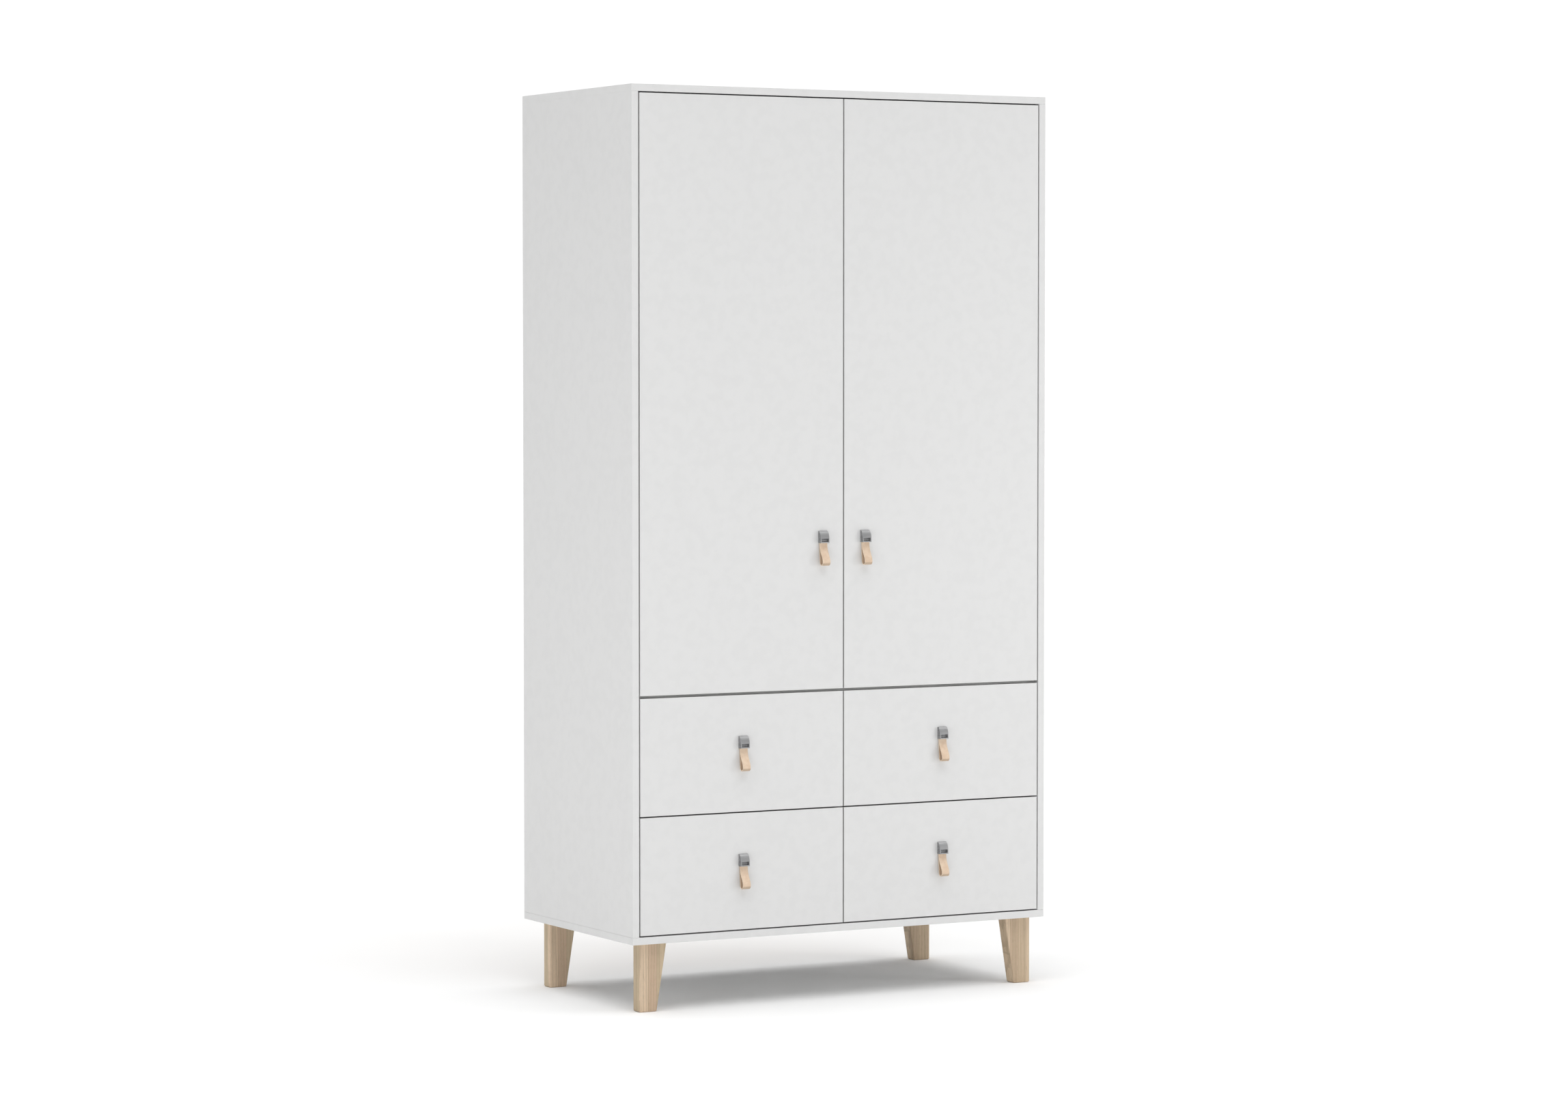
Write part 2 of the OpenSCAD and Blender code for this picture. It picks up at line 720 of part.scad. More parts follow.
top_panel();
bottom_panel();
side_panel(-1);  // left_side_panel
side_panel(1);  // right_side_panel
middle_shelf();
drawer_divider();
hat_shelf();
upper_back_panel();
lower_back_panel();
hanging_rail();
rail_sockets();
leg(-1, 0);  // front_left_leg
leg(1, 0);  // front_right_leg
leg(-1, 1);  // rear_left_leg
leg(1, 1);  // rear_right_leg
leg_screws();
cam_fasteners();
hinge_arms();
cabinet_runners();
wall_brackets();

for (side = SIDES) {
    x = door_handle_x(side);
    z = door_z + door_handle_top;
    door_panel(side);
    door_hinge_cups(side);
    handle_cap(x, z);
    handle_strap(x, z);
}

for (side = SIDES) for (row = ROWS) {
    x = drawer_handle_x(side);
    z = drawer_handle_z(row);
    drawer_front(side, row);
    drawer_side(side, row, -1);
    drawer_side(side, row, 1);
    drawer_back(side, row);
    drawer_bottom(side, row);
    drawer_runners(side, row);
    handle_cap(x, z);
    handle_strap(x, z);
}
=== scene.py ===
# %% [markdown]
# # A wardrobe with two doors and four drawers
# The wardrobe is a white box of coated board on four short oak legs. Two tall doors close
# the hanging space, and four drawers fill the lower part. Each front has a leather strap
# held by a small metal cap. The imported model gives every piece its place, so this lesson
# only has to give each one its true edges, fittings and finish.

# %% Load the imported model
import math
import random

import bmesh
import bpy
from mathutils import Matrix, Vector


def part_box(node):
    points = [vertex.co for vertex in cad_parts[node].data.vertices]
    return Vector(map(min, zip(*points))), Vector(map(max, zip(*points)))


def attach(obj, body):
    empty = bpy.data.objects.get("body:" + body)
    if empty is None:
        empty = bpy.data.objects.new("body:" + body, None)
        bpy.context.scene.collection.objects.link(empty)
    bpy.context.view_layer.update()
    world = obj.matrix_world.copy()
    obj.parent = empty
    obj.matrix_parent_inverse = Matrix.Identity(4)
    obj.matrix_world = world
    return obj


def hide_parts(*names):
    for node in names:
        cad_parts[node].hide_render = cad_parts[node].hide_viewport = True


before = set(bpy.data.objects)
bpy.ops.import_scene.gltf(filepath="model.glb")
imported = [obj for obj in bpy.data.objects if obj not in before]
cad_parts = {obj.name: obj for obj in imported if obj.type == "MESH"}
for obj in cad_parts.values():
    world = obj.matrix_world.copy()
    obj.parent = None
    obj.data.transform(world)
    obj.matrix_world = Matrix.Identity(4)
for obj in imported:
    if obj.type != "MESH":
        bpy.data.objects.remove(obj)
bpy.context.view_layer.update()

MM = 0.001

# %% [markdown]
# The camera comes first, so that every later step can be judged in the final picture. It
# stands well back with a long lens, a little to the left of the wardrobe and at chest
# height. A long lens keeps the tall sides almost parallel, as furniture is usually shown.

# %% Camera
camera_data = bpy.data.cameras.new("camera")
camera_data.lens = 102.81
camera_data.sensor_fit = "HORIZONTAL"
camera_data.sensor_width = 36.0
camera_data.clip_end = 200.0
camera = bpy.data.objects.new("camera", camera_data)
camera.location = (-4.919, -8.849, 1.4125)
camera.rotation_euler = (math.radians(87.611), 0.0, math.radians(-29.038))
bpy.context.scene.collection.objects.link(camera)
bpy.context.scene.camera = camera
print("camera", tuple(round(v, 3) for v in camera.location), "lens", camera_data.lens)

# %% [markdown]
# Small helpers come next. An operator works on everything that is selected, and the
# loaded nodes start out selected, so each step first selects one object alone. `pick`
# then chooses vertices, edges or faces by a rule, as a maker would click on them.


# %% Helpers for selecting and for simple blocks
def alone(piece):
    """Select one object and nothing else."""
    if bpy.context.mode != "OBJECT":
        bpy.ops.object.mode_set(mode="OBJECT")
    bpy.ops.object.select_all(action="DESELECT")
    piece.select_set(True)
    bpy.context.view_layer.objects.active = piece


def pick(piece, kind, rule):
    """Enter edit mode with the parts that pass the rule selected."""
    alone(piece)
    bpy.ops.object.mode_set(mode="EDIT")
    bpy.ops.mesh.select_mode(type=kind)
    bpy.ops.mesh.select_all(action="DESELECT")
    shape = bmesh.from_edit_mesh(piece.data)
    parts = {"VERT": shape.verts, "EDGE": shape.edges, "FACE": shape.faces}[kind]
    chosen = [part for part in parts if rule(part)]
    for part in chosen:
        part.select = True
    shape.select_flush_mode()
    bmesh.update_edit_mesh(piece.data)
    return len(chosen)


def block(name, low, high):
    """A cuboid between two corners, with its place in its mesh."""
    bpy.ops.object.select_all(action="DESELECT")
    middle = [(a + b) / 2 for a, b in zip(low, high)]
    bpy.ops.mesh.primitive_cube_add(size=1, location=middle)
    piece = bpy.context.object
    piece.scale = [b - a for a, b in zip(low, high)]
    bpy.ops.object.transform_apply(location=True, rotation=True, scale=True)
    piece.name = name
    piece.data.name = name
    return piece


def apply(piece, kind, **settings):
    """Add a modifier, set it and apply it."""
    alone(piece)
    made = piece.modifiers.new(kind.lower(), kind)
    for name, value in settings.items():
        setattr(made, name, value)
    bpy.ops.object.modifier_apply(modifier=made.name)


print("helpers ready")

# %% [markdown]
# Light is what makes white furniture readable. A studio would stand it in a white cove
# under large soft lamps. Here a very wide lamp overhead does most of the work: it keeps the
# floor as pale as the background, and the floor throws the light back up. A broad lamp
# from the front right shapes the fronts, and a weaker one on the left lights the side.
# The sky that the camera sees is far brighter than the sky that lights the room, so that
# the background stays plain while the shadows stay soft but clear.

# %% Studio light and floor
SKY_LIGHT = 0.22
SKY_SEEN = 1.05
TOP_LAMP = 2.95
TOP_SPREAD = math.radians(80)
TOP_TILT = math.radians(4)
SOFT_LAMPS = [
    # name, watts, side of the square, where it hangs and what it is turned to
    ("key_lamp", 21.0, 0.9, (3.3, -2.9, 1.1), (0.1, -0.26, 0.6)),
    ("fill_lamp", 6.4, 1.0, (-2.5, -1.4, 1.25), (-0.5, -0.1, 1.2)),
]

scene = bpy.context.scene
scene.view_settings.view_transform = "Standard"
scene.view_settings.look = "None"
world = bpy.data.worlds.new("studio")
scene.world = world
world.use_nodes = True
sky = world.node_tree
sky.nodes.clear()
lit = sky.nodes.new("ShaderNodeBackground")
lit.inputs["Strength"].default_value = SKY_LIGHT
seen = sky.nodes.new("ShaderNodeBackground")
seen.inputs["Strength"].default_value = SKY_SEEN
for background in (lit, seen):
    background.inputs["Color"].default_value = (1, 1, 1, 1)
path = sky.nodes.new("ShaderNodeLightPath")
choose = sky.nodes.new("ShaderNodeMixShader")
sky_out = sky.nodes.new("ShaderNodeOutputWorld")
sky.links.new(path.outputs["Is Camera Ray"], choose.inputs[0])
sky.links.new(lit.outputs[0], choose.inputs[1])
sky.links.new(seen.outputs[0], choose.inputs[2])
sky.links.new(choose.outputs[0], sky_out.inputs["Surface"])

lamp = bpy.data.lights.new("top_lamp", "SUN")
lamp.energy = TOP_LAMP
lamp.angle = TOP_SPREAD
holder = bpy.data.objects.new("top_lamp", lamp)
holder.rotation_euler = (TOP_TILT, 0, 0)
scene.collection.objects.link(holder)
for name, watts, side, place, aim in SOFT_LAMPS:
    lamp = bpy.data.lights.new(name, "AREA")
    lamp.energy = watts
    lamp.shape = "SQUARE"
    lamp.size = side
    holder = bpy.data.objects.new(name, lamp)
    holder.location = place
    turn = (Vector(aim) - Vector(place)).to_track_quat("-Z", "Y")
    holder.rotation_euler = turn.to_euler()
    scene.collection.objects.link(holder)

# %% [markdown]
# Materials are node trees. `put` adds one node and fills its inputs, either with a value or
# with a link, which keeps each recipe short. Effects that several finishes share are made
# once as node groups: `grain` is noise drawn out along one direction, `cloud` is the slow
# change that handling leaves in gloss and tone, and a third group finds the rounded edges and
# breaks them up, for rubbed wear on the oak and the metals and for a painted highlight on the
# white film.


# %% Node helpers
def put(tree, kind, settings, inputs):
    """Add a node to a tree, with its settings, and set or link its inputs."""
    made = tree.nodes.new("ShaderNode" + kind)
    for name, value in settings.items():
        setattr(made, name, value)
    for key, value in inputs.items():
        if isinstance(value, bpy.types.NodeSocket):
            tree.links.new(value, made.inputs[key])
        else:
            made.inputs[key].default_value = value
    return made


def calculate(tree, operation, first, second=0.0):
    """One Math node, clamped to the range from 0 to 1."""
    settings = {"operation": operation, "use_clamp": True}
    return put(tree, "Math", settings, {0: first, 1: second}).outputs[0]


def remap(tree, value, low, high, to_low, to_high):
    """Spread a value from one range to another, with a soft start and end."""
    settings = {"interpolation_type": "SMOOTHSTEP"}
    inputs = {"Value": value, "From Min": low, "From Max": high}
    inputs["To Min"] = to_low
    inputs["To Max"] = to_high
    return put(tree, "MapRange", settings, inputs).outputs["Result"]


def blend(tree, factor, first, second):
    """A colour between two colours."""
    inputs = {0: factor, 6: first, 7: second}
    return put(tree, "Mix", {"data_type": "RGBA"}, inputs).outputs[2]


def own_place(tree):
    """Where a point lies on the wardrobe, in metres."""
    return put(tree, "TexCoord", {}, {}).outputs["Object"]


def marked(tree, name):
    """The mark, from 0 to 1, that the faces of a mesh carry under a name."""
    return put(tree, "Attribute", {"attribute_name": name}, {}).outputs["Fac"]


def new_group(name, inputs, output):
    """A node group with the given inputs and one float output, still empty inside."""
    tree = bpy.data.node_groups.new(name, "ShaderNodeTree")
    for label, value, kind in inputs:
        made = tree.interface.new_socket(label, in_out="INPUT", socket_type=kind)
        made.default_value = value
    tree.interface.new_socket(output, in_out="OUTPUT", socket_type="NodeSocketFloat")
    start = tree.nodes.new("NodeGroupInput")
    end = tree.nodes.new("NodeGroupOutput")
    return tree, start, end


def use(tree, group, **inputs):
    """Place a group in a material with its own values."""
    made = put(tree, "Group", {"node_tree": group}, {})
    for name, value in inputs.items():
        socket = made.inputs[name]
        if isinstance(value, bpy.types.NodeSocket):
            tree.links.new(value, socket)
        else:
            socket.default_value = value
    return made.outputs[0]


FLOAT = "NodeSocketFloat"
VECTOR = "NodeSocketVector"

# %% Shared effects
grain, start, end = new_group(
    "grain",
    [("Repeats", (1, 1, 1), VECTOR), ("Detail", 4.0, FLOAT), ("Wander", 0.0, FLOAT)],
    "Grain",
)
place = own_place(grain)
scaled = put(
    grain,
    "VectorMath",
    {"operation": "MULTIPLY"},
    {0: place, 1: start.outputs["Repeats"]},
)
drawn = put(
    grain,
    "TexNoise",
    {},
    {
        "Vector": scaled.outputs[0],
        "Scale": 1.0,
        "Detail": start.outputs["Detail"],
        "Distortion": start.outputs["Wander"],
    },
)
grain.links.new(drawn.outputs["Fac"], end.inputs[0])

cloud, start, end = new_group(
    "cloud",
    [("Repeats", 5.0, FLOAT), ("Low", 0.0, FLOAT), ("High", 1.0, FLOAT)],
    "Amount",
)
place = own_place(cloud)
slow = put(
    cloud,
    "TexNoise",
    {},
    {"Vector": place, "Scale": start.outputs["Repeats"], "Detail": 5.0, "Distortion": 0.6},
)
spread = remap(
    cloud, slow.outputs["Fac"], 0.3, 0.7, start.outputs["Low"], start.outputs["High"]
)
cloud.links.new(spread, end.inputs[0])

# Rounded edges made brighter: rubbed wear on oak and metal, a painted highlight on the white
# film
edge_wear_and_highlight, start, end = new_group(
    "edge_wear_and_highlight", [("Amount", 0.5, FLOAT), ("Repeats", 60.0, FLOAT)], "Mask"
)
place = own_place(edge_wear_and_highlight)
edge = marked(edge_wear_and_highlight, "edge")
broken = put(
    edge_wear_and_highlight,
    "TexNoise",
    {},
    {"Vector": place, "Scale": start.outputs["Repeats"], "Detail": 4.0},
)
patches = remap(edge_wear_and_highlight, broken.outputs["Fac"], 0.35, 0.6, 0.45, 1.0)
worn = calculate(edge_wear_and_highlight, "MULTIPLY", edge, patches)
mask = calculate(edge_wear_and_highlight, "MULTIPLY", worn, start.outputs["Amount"])
edge_wear_and_highlight.links.new(mask, end.inputs[0])
print("groups", [group.name for group in bpy.data.node_groups])


# %% New material
def new_material(name, **constants):
    """A material with one Principled BSDF, and its constant values set on it."""
    material = bpy.data.materials.new(name)
    material.use_nodes = True
    tree = material.node_tree
    shader = tree.nodes["Principled BSDF"]
    for label, value in constants.items():
        shader.inputs[label.replace("_", " ")].default_value = value
    return material, tree, shader


def cover(tree, shader, colour, rough):
    """Link a colour and a roughness that change over the surface to the shader."""
    tree.links.new(colour, shader.inputs["Base Color"])
    tree.links.new(rough, shader.inputs["Roughness"])


def relief(tree, shader, height, strength, depth):
    """Turn a height pattern into bumps on the shader, depth in metres."""
    inputs = {"Height": height, "Strength": strength, "Distance": depth}
    bump = put(tree, "Bump", {}, inputs)
    tree.links.new(bump.outputs["Normal"], shader.inputs["Normal"])


# %% [markdown]
# The white boards are chipboard with a printed film pressed on. Such a film isn't mirror
# flat: it has a fine orange peel and a slow change of gloss where hands wipe it. Its rounded
# edges get a painted highlight, a little brighter than the faces. Painting these on would
# need image maps, so noise does it instead, at the true scale in millimetres. The same recipe
# with other values makes the outer film, the fronts, the plainer inner boards, the painted
# hardboard and the duller edging across the thickness of the fronts, which is greyer than the
# film and painted darker still as shade for the gaps.


# %% White finishes
FLECK_SHARE = 0.4
# How much brighter the painted highlight on the film's rounded edges is
EDGE_HIGHLIGHT_LIFT = 1.07
PEEL_STRENGTH = 0.12


def white_finish(name, light, shade, gloss, peel, peel_depth, edge_brightening):
    """Coated board: two close whites, a range of roughness and a fine orange peel."""
    material, tree, shader = new_material(name, IOR=1.46)
    tone = use(tree, cloud, Repeats=3.1, Low=0.0, High=1.0)
    fleck = use(tree, grain, Repeats=(peel * 1.7,) * 3, Detail=3.0)
    fleck = calculate(tree, "MULTIPLY", fleck, FLECK_SHARE)
    tone = calculate(tree, "MULTIPLY", tone, 1 - FLECK_SHARE)
    tone = calculate(tree, "ADD", tone, fleck)
    colour = blend(tree, tone, (*shade, 1), (*light, 1))
    # Painted highlight: the rounded edges of the film are made a little brighter
    bright = tuple(min(1.0, value * EDGE_HIGHLIGHT_LIFT) for value in light)
    edges = use(tree, edge_wear_and_highlight, Amount=edge_brightening, Repeats=45.0)
    colour = blend(tree, edges, colour, (*bright, 1))
    rough = use(tree, cloud, Repeats=4.0, Low=gloss[0], High=gloss[1])
    cover(tree, shader, colour, rough)
    height = use(tree, grain, Repeats=(peel,) * 3, Detail=2.0)
    relief(tree, shader, height, PEEL_STRENGTH, peel_depth)
    return material


OUTER_LIGHT = (0.766, 0.766, 0.763)
OUTER_SHADE = (0.758, 0.759, 0.756)
# The edging is greyer than the film, and darker still as painted shade for the gaps between
# the fronts
EDGING_AND_GAP_SHADE_LIGHT = (0.615, 0.614, 0.605)
EDGING_AND_GAP_SHADE_DARK = (0.585, 0.585, 0.578)
# Each finish: name, light, shade, roughness, peel per metre, depth in metres, painted edge
# highlight
white_board = white_finish(
    "white_board", OUTER_LIGHT, OUTER_SHADE, (0.41, 0.46), 620, 0.00004, 0.5
)
white_front = white_finish(
    "white_front", OUTER_LIGHT, OUTER_SHADE, (0.38, 0.43), 620, 0.00003, 0.5
)
white_inner = white_finish(
    "white_inner_board",
    (0.790, 0.789, 0.780),
    (0.765, 0.765, 0.757),
    (0.48, 0.60),
    480,
    0.00008,
    0.35,
)
white_hardboard = white_finish(
    "white_hardboard",
    (0.755, 0.754, 0.745),
    (0.715, 0.716, 0.709),
    (0.60, 0.75),
    300,
    0.00015,
    0.2,
)
# Edging across the thickness of the fronts, greyer and with painted shade for the gaps
edging_and_gap_shade = white_finish(
    "edging_and_gap_shade", EDGING_AND_GAP_SHADE_LIGHT, EDGING_AND_GAP_SHADE_DARK, (0.50, 0.62), 480, 0.00008, 0.0
)
print("white finishes", [m.name for m in bpy.data.materials if m.name[:5] == "white"])

# %% [markdown]
# The rear face of a hardboard sheet is left raw. It is brown pressed fibre with darker and
# paler strands, slow patches where it has faded, and a faint woven mark from the press.
# Two noises at different scales give strands and patches, and two fine waves that cross
# give the screen mark.

# %% Raw hardboard
raw_fibre, tree, shader = new_material("raw_fibre", IOR=1.4)
strands = use(tree, grain, Repeats=(260, 260, 90), Detail=6.0, Wander=1.2)
mottle = use(tree, cloud, Repeats=14.0, Low=0.0, High=1.0)
colour = blend(tree, strands, (0.155, 0.095, 0.055, 1), (0.34, 0.225, 0.135, 1))
faded = blend(tree, mottle, (0.215, 0.14, 0.085, 1), (0.29, 0.195, 0.12, 1))
colour = blend(tree, 0.45, colour, faded)
rough = use(tree, cloud, Repeats=30.0, Low=0.72, High=0.92)
cover(tree, shader, colour, rough)
place = own_place(tree)
waves = [
    put(
        tree,
        "TexWave",
        {"bands_direction": direction},
        {"Vector": place, "Scale": 150.0, "Distortion": 0.6},
    ).outputs["Fac"]
    for direction in ("X", "Z")
]
screen = calculate(tree, "MULTIPLY", waves[0], waves[1])
height = calculate(tree, "ADD", calculate(tree, "MULTIPLY", screen, 0.4), strands)
relief(tree, shader, height, 0.5, 0.0002)
print("raw hardboard ready")

# %% [markdown]
# The legs are light oak, glued up from upright staves and oiled. Oak shows three things:
# staves that differ a little in tone, growth lines that run up the leg and wander slowly,
# and short dark pores along the grain. The pattern is laid in the wardrobe's own
# coordinates, so the four legs come from one recipe and no two look the same.

# %% Oak
STAVE_WIDTH = 0.0215
STAVE_START = 0.163
STAVE_DEPTH = 0.030
SWAY_REACH = 0.004
TINT_STEP = 0.3
TINT_START = 0.2
oak, tree, shader = new_material("oak", IOR=1.45)
place = own_place(tree)
sway = use(tree, grain, Repeats=(9, 9, 5), Detail=1.0)
axes = put(tree, "SeparateXYZ", {}, {0: place})


def number(operation, first, second=0.0):
    """One Math node in the oak's tree, without a clamp."""
    return put(tree, "Math", {"operation": operation}, {0: first, 1: second}).outputs[0]


# Which stave a point lies in, counted across the width and, more coarsely, the depth.
# The whole part of the number picks the tint, and neighbouring numbers give tints that
# are far apart, so each stave shows. Its fraction is near 0 or 1 at a glue line.
across = number("ADD", axes.outputs["X"], number("MULTIPLY", sway, SWAY_REACH))
layer = number("FLOOR", number("DIVIDE", axes.outputs["Y"], STAVE_DEPTH))
place_in_row = number("ADD", number("DIVIDE", across, STAVE_WIDTH), STAVE_START)
stave = number("ADD", place_in_row, number("MULTIPLY", layer, 2.0))
tint = number("MULTIPLY", number("FLOOR", stave), TINT_STEP)
tint = number("FRACT", number("ADD", tint, TINT_START))
seam = number("ABSOLUTE", number("SUBTRACT", number("FRACT", stave), 0.5))
seam = remap(tree, seam, 0.465, 0.5, 0.0, 0.45)
flat = put(tree, "Mapping", {}, {"Vector": place, "Scale": (1.0, 0.85, 0.06)})
rings = put(
    tree,
    "TexWave",
    {"bands_direction": "X", "wave_profile": "SAW"},
    {
        "Vector": flat.outputs[0],
        "Scale": 42.0,
        "Distortion": 6.5,
        "Detail": 3.0,
        "Detail Scale": 1.2,
        "Phase Offset": number("MULTIPLY", tint, 60.0),
    },
).outputs["Fac"]
fibres = use(tree, grain, Repeats=(700, 700, 12), Detail=5.0, Wander=0.2)
broad = use(tree, grain, Repeats=(85, 85, 3.0), Detail=3.0, Wander=0.6)
colour = put(tree, "ValToRGB", {}, {"Fac": tint})
stops = colour.color_ramp.elements
stops[0].position = 0.0
stops[0].color = (0.515, 0.390, 0.260, 1)
stops[1].position = 0.88
stops[1].color = (0.815, 0.630, 0.455, 1)
for where, tone in ((0.2, (0.610, 0.435, 0.305)), (0.5, (0.620, 0.495, 0.330))):
    stops.new(where).color = (*tone, 1)
colour = colour.outputs["Color"]
streaks = remap(tree, broad, 0.42, 0.66, 0.0, 0.5)
colour = blend(tree, streaks, colour, (0.40, 0.295, 0.185, 1))
ring_lines = remap(tree, rings, 0.45, 1.0, 0.0, 0.45)
colour = blend(tree, ring_lines, colour, (0.345, 0.245, 0.15, 1))
colour = blend(tree, seam, colour, (0.36, 0.27, 0.17, 1))
silk = remap(tree, fibres, 0.38, 0.68, 0.0, 0.22)
colour = blend(tree, silk, colour, (0.70, 0.555, 0.40, 1))
pores = use(tree, grain, Repeats=(1300, 1300, 45), Detail=2.0)
pores = remap(tree, pores, 0.62, 0.72, 0.0, 0.55)
colour = blend(tree, pores, colour, (0.20, 0.13, 0.075, 1))
edges = use(tree, edge_wear_and_highlight, Amount=0.3, Repeats=90.0)
colour = blend(tree, edges, colour, (0.62, 0.49, 0.35, 1))
cover(tree, shader, colour, remap(tree, fibres, 0.3, 0.7, 0.42, 0.62))
height = calculate(tree, "SUBTRACT", fibres, pores)
relief(tree, shader, height, 0.55, 0.00025)
print("oak ready, staves", STAVE_WIDTH / MM, "mm wide")

# %% [markdown]
# The straps are natural vegetable-tanned leather. The grain side has fine pebbles and a soft
# waxy sheen, with slow patches where the hide took the tan differently. The cut edges are
# paler and fibrous. The flesh side inside the loop is darker, and is painted darker still as
# shade. The underside of the bend, where the faces look down, gets painted shade too. Marks
# for the cut edges and for the shade on those faces of the mesh tell the material where they
# are, which follows the strap round its bend better than any flat projection would.

# %% Leather
leather, tree, shader = new_material(
    "leather", IOR=1.45, Sheen_Weight=0.15, Sheen_Roughness=0.5
)
place = own_place(tree)
pebbles = put(
    tree, "TexVoronoi", {"feature": "DISTANCE_TO_EDGE"}, {"Vector": place, "Scale": 1150.0}
).outputs["Distance"]
creases = remap(tree, pebbles, 0.0, 0.22, 0.0, 1.0)
patches = use(tree, cloud, Repeats=95.0, Low=0.0, High=1.0)
fine = use(tree, grain, Repeats=(2400, 2400, 2400), Detail=3.0)
colour = blend(tree, patches, (0.765, 0.572, 0.412, 1), (0.845, 0.665, 0.502, 1))
folds = calculate(tree, "SUBTRACT", 1.0, creases)
folds = calculate(tree, "MULTIPLY", folds, 0.15)
colour = blend(tree, folds, colour, (0.60, 0.42, 0.275, 1))
# Painted shade under the bend, and inside the loop where the flesh side is darker too
flesh_and_bend_shade = remap(tree, marked(tree, "flesh_and_bend_shade"), 0.0, 1.0, 0.0, 0.85)
colour = blend(tree, flesh_and_bend_shade, colour, (0.47, 0.345, 0.24, 1))
fibrous = remap(tree, fine, 0.3, 0.7, 0.55, 0.95)
fibrous = calculate(tree, "MULTIPLY", marked(tree, "cut"), fibrous)
colour = blend(tree, fibrous, colour, (0.88, 0.74, 0.58, 1))
rough = use(tree, cloud, Repeats=160.0, Low=0.46, High=0.62)
cover(tree, shader, colour, rough)
height = calculate(tree, "MULTIPLY_ADD", creases, 0.7)
tree.links.new(fine, height.node.inputs[2])
relief(tree, shader, height, 0.4, 0.00012)
print("leather ready")

# %% [markdown]
# The metals share one recipe: a base tone, fine brushing or casting grain, slow smudges in
# the gloss, and edges that are rubbed a little brighter. What differs is how metallic the
# surface is and how fine its grain is. The grey caps are lacquered, so they are only partly
# metallic. Their cheeks and the inside of their window get painted shade, much darker, and a
# mark on those faces tells the material where. The rail is polished chrome, and the fittings
# are nickel or zinc.


# %% Metals
# Painted shade, nearly black, for the cheeks and the inside of the window of a cap
PAINTED_CAP_SHADE_COLOUR = (0.02, 0.02, 0.021, 1)


def metal_finish(name, dark, light, bright, repeats, gloss, metallic, depth, edge_brightening, cap_shade_share=0):
    """Metal with brushed or cast grain, smudged gloss and rubbed edges."""
    material, tree, shader = new_material(name, Metallic=metallic)
    lines = use(tree, grain, Repeats=repeats, Detail=4.0)
    colour = blend(
        tree, remap(tree, lines, 0.3, 0.7, 0.0, 1.0), (*dark, 1), (*light, 1)
    )
    # Painted shade on the faces that are marked on a cap
    if cap_shade_share:
        shade = remap(tree, marked(tree, "painted_cap_shade"), 0.0, 1.0, 0.0, cap_shade_share)
        colour = blend(tree, shade, colour, PAINTED_CAP_SHADE_COLOUR)
    edges = use(tree, edge_wear_and_highlight, Amount=edge_brightening, Repeats=300.0)
    colour = blend(tree, edges, colour, (*bright, 1))
    rough = use(tree, cloud, Repeats=70.0, Low=gloss[0], High=gloss[1])
    cover(tree, shader, colour, rough)
    relief(tree, shader, lines, 0.3, depth)
    return material


METALS = {
    # name: dark, light, edge, grain repeats, roughness, metallic, depth, wear, share of
    # painted shade
    "cap_metal": (
        (0.350, 0.351, 0.355),
        (0.395, 0.396, 0.400),
        (0.54, 0.54, 0.55),
        (2600, 2600, 2600),
        (0.36, 0.48),
        0.40,
        0.00003,
        0.45,
        0.74,
    ),
    "hinge_metal": (
        (0.56, 0.56, 0.555),
        (0.66, 0.66, 0.65),
        (0.78, 0.78, 0.77),
        (300, 2200, 300),
        (0.22, 0.36),
        1.0,
        0.00002,
        0.5,
    ),
    "runner_metal": (
        (0.50, 0.52, 0.54),
        (0.63, 0.645, 0.655),
        (0.75, 0.76, 0.77),
        (1500, 40, 1500),
        (0.30, 0.46),
        1.0,
        0.00003,
        0.5,
    ),
    "rail_metal": (
        (0.74, 0.745, 0.75),
        (0.80, 0.805, 0.81),
        (0.88, 0.88, 0.88),
        (60, 900, 900),
        (0.10, 0.20),
        1.0,
        0.00001,
        0.4,
    ),
    "zinc_metal": (
        (0.47, 0.475, 0.48),
        (0.60, 0.60, 0.60),
        (0.74, 0.74, 0.74),
        (900, 900, 900),
        (0.32, 0.50),
        1.0,
        0.00004,
        0.6,
    ),
    "cam_metal": (
        (0.40, 0.405, 0.415),
        (0.50, 0.505, 0.515),
        (0.66, 0.66, 0.67),
        (1600, 1600, 1600),
        (0.40, 0.56),
        0.9,
        0.00006,
        0.5,
    ),
}
metals = {name: metal_finish(name, *values) for name, values in METALS.items()}
print("metals", sorted(metals))

# %% [markdown]
# The floor is a plain pale studio floor, not part of the wardrobe. It is a wide, thin slab
# with its upper face at the height of the feet, and it carries a faint mottling so that it
# isn't one dead colour.

# %% Floor
FLOOR_REACH = 60
FLOOR_THICKNESS = 0.02
floor_paint, tree, shader = new_material("floor_paint", IOR=1.4)
tone = use(tree, cloud, Repeats=1.3, Low=0.0, High=1.0)
colour = blend(tree, tone, (0.955, 0.955, 0.953, 1), (0.965, 0.965, 0.963, 1))
rough = use(tree, cloud, Repeats=4.0, Low=0.75, High=0.85)
cover(tree, shader, colour, rough)
floor = block(
    "studio_floor",
    (-FLOOR_REACH, -FLOOR_REACH, -FLOOR_THICKNESS),
    (FLOOR_REACH, FLOOR_REACH, 0.0),
)
floor.data.materials.append(floor_paint)
print("floor", tuple(round(v, 2) for v in floor.dimensions))

# %% [markdown]
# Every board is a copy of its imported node, so its holes, grooves and size are right from
# the start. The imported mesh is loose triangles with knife-sharp edges. Its copy is merged,
# and its flat faces are made whole again. Then only the outline of the board is bevelled,
# because a real board's edges are eased, while its drilled holes stay crisp. The bevel
# leaves its new faces selected, and they get an `edge` mark that the materials use.


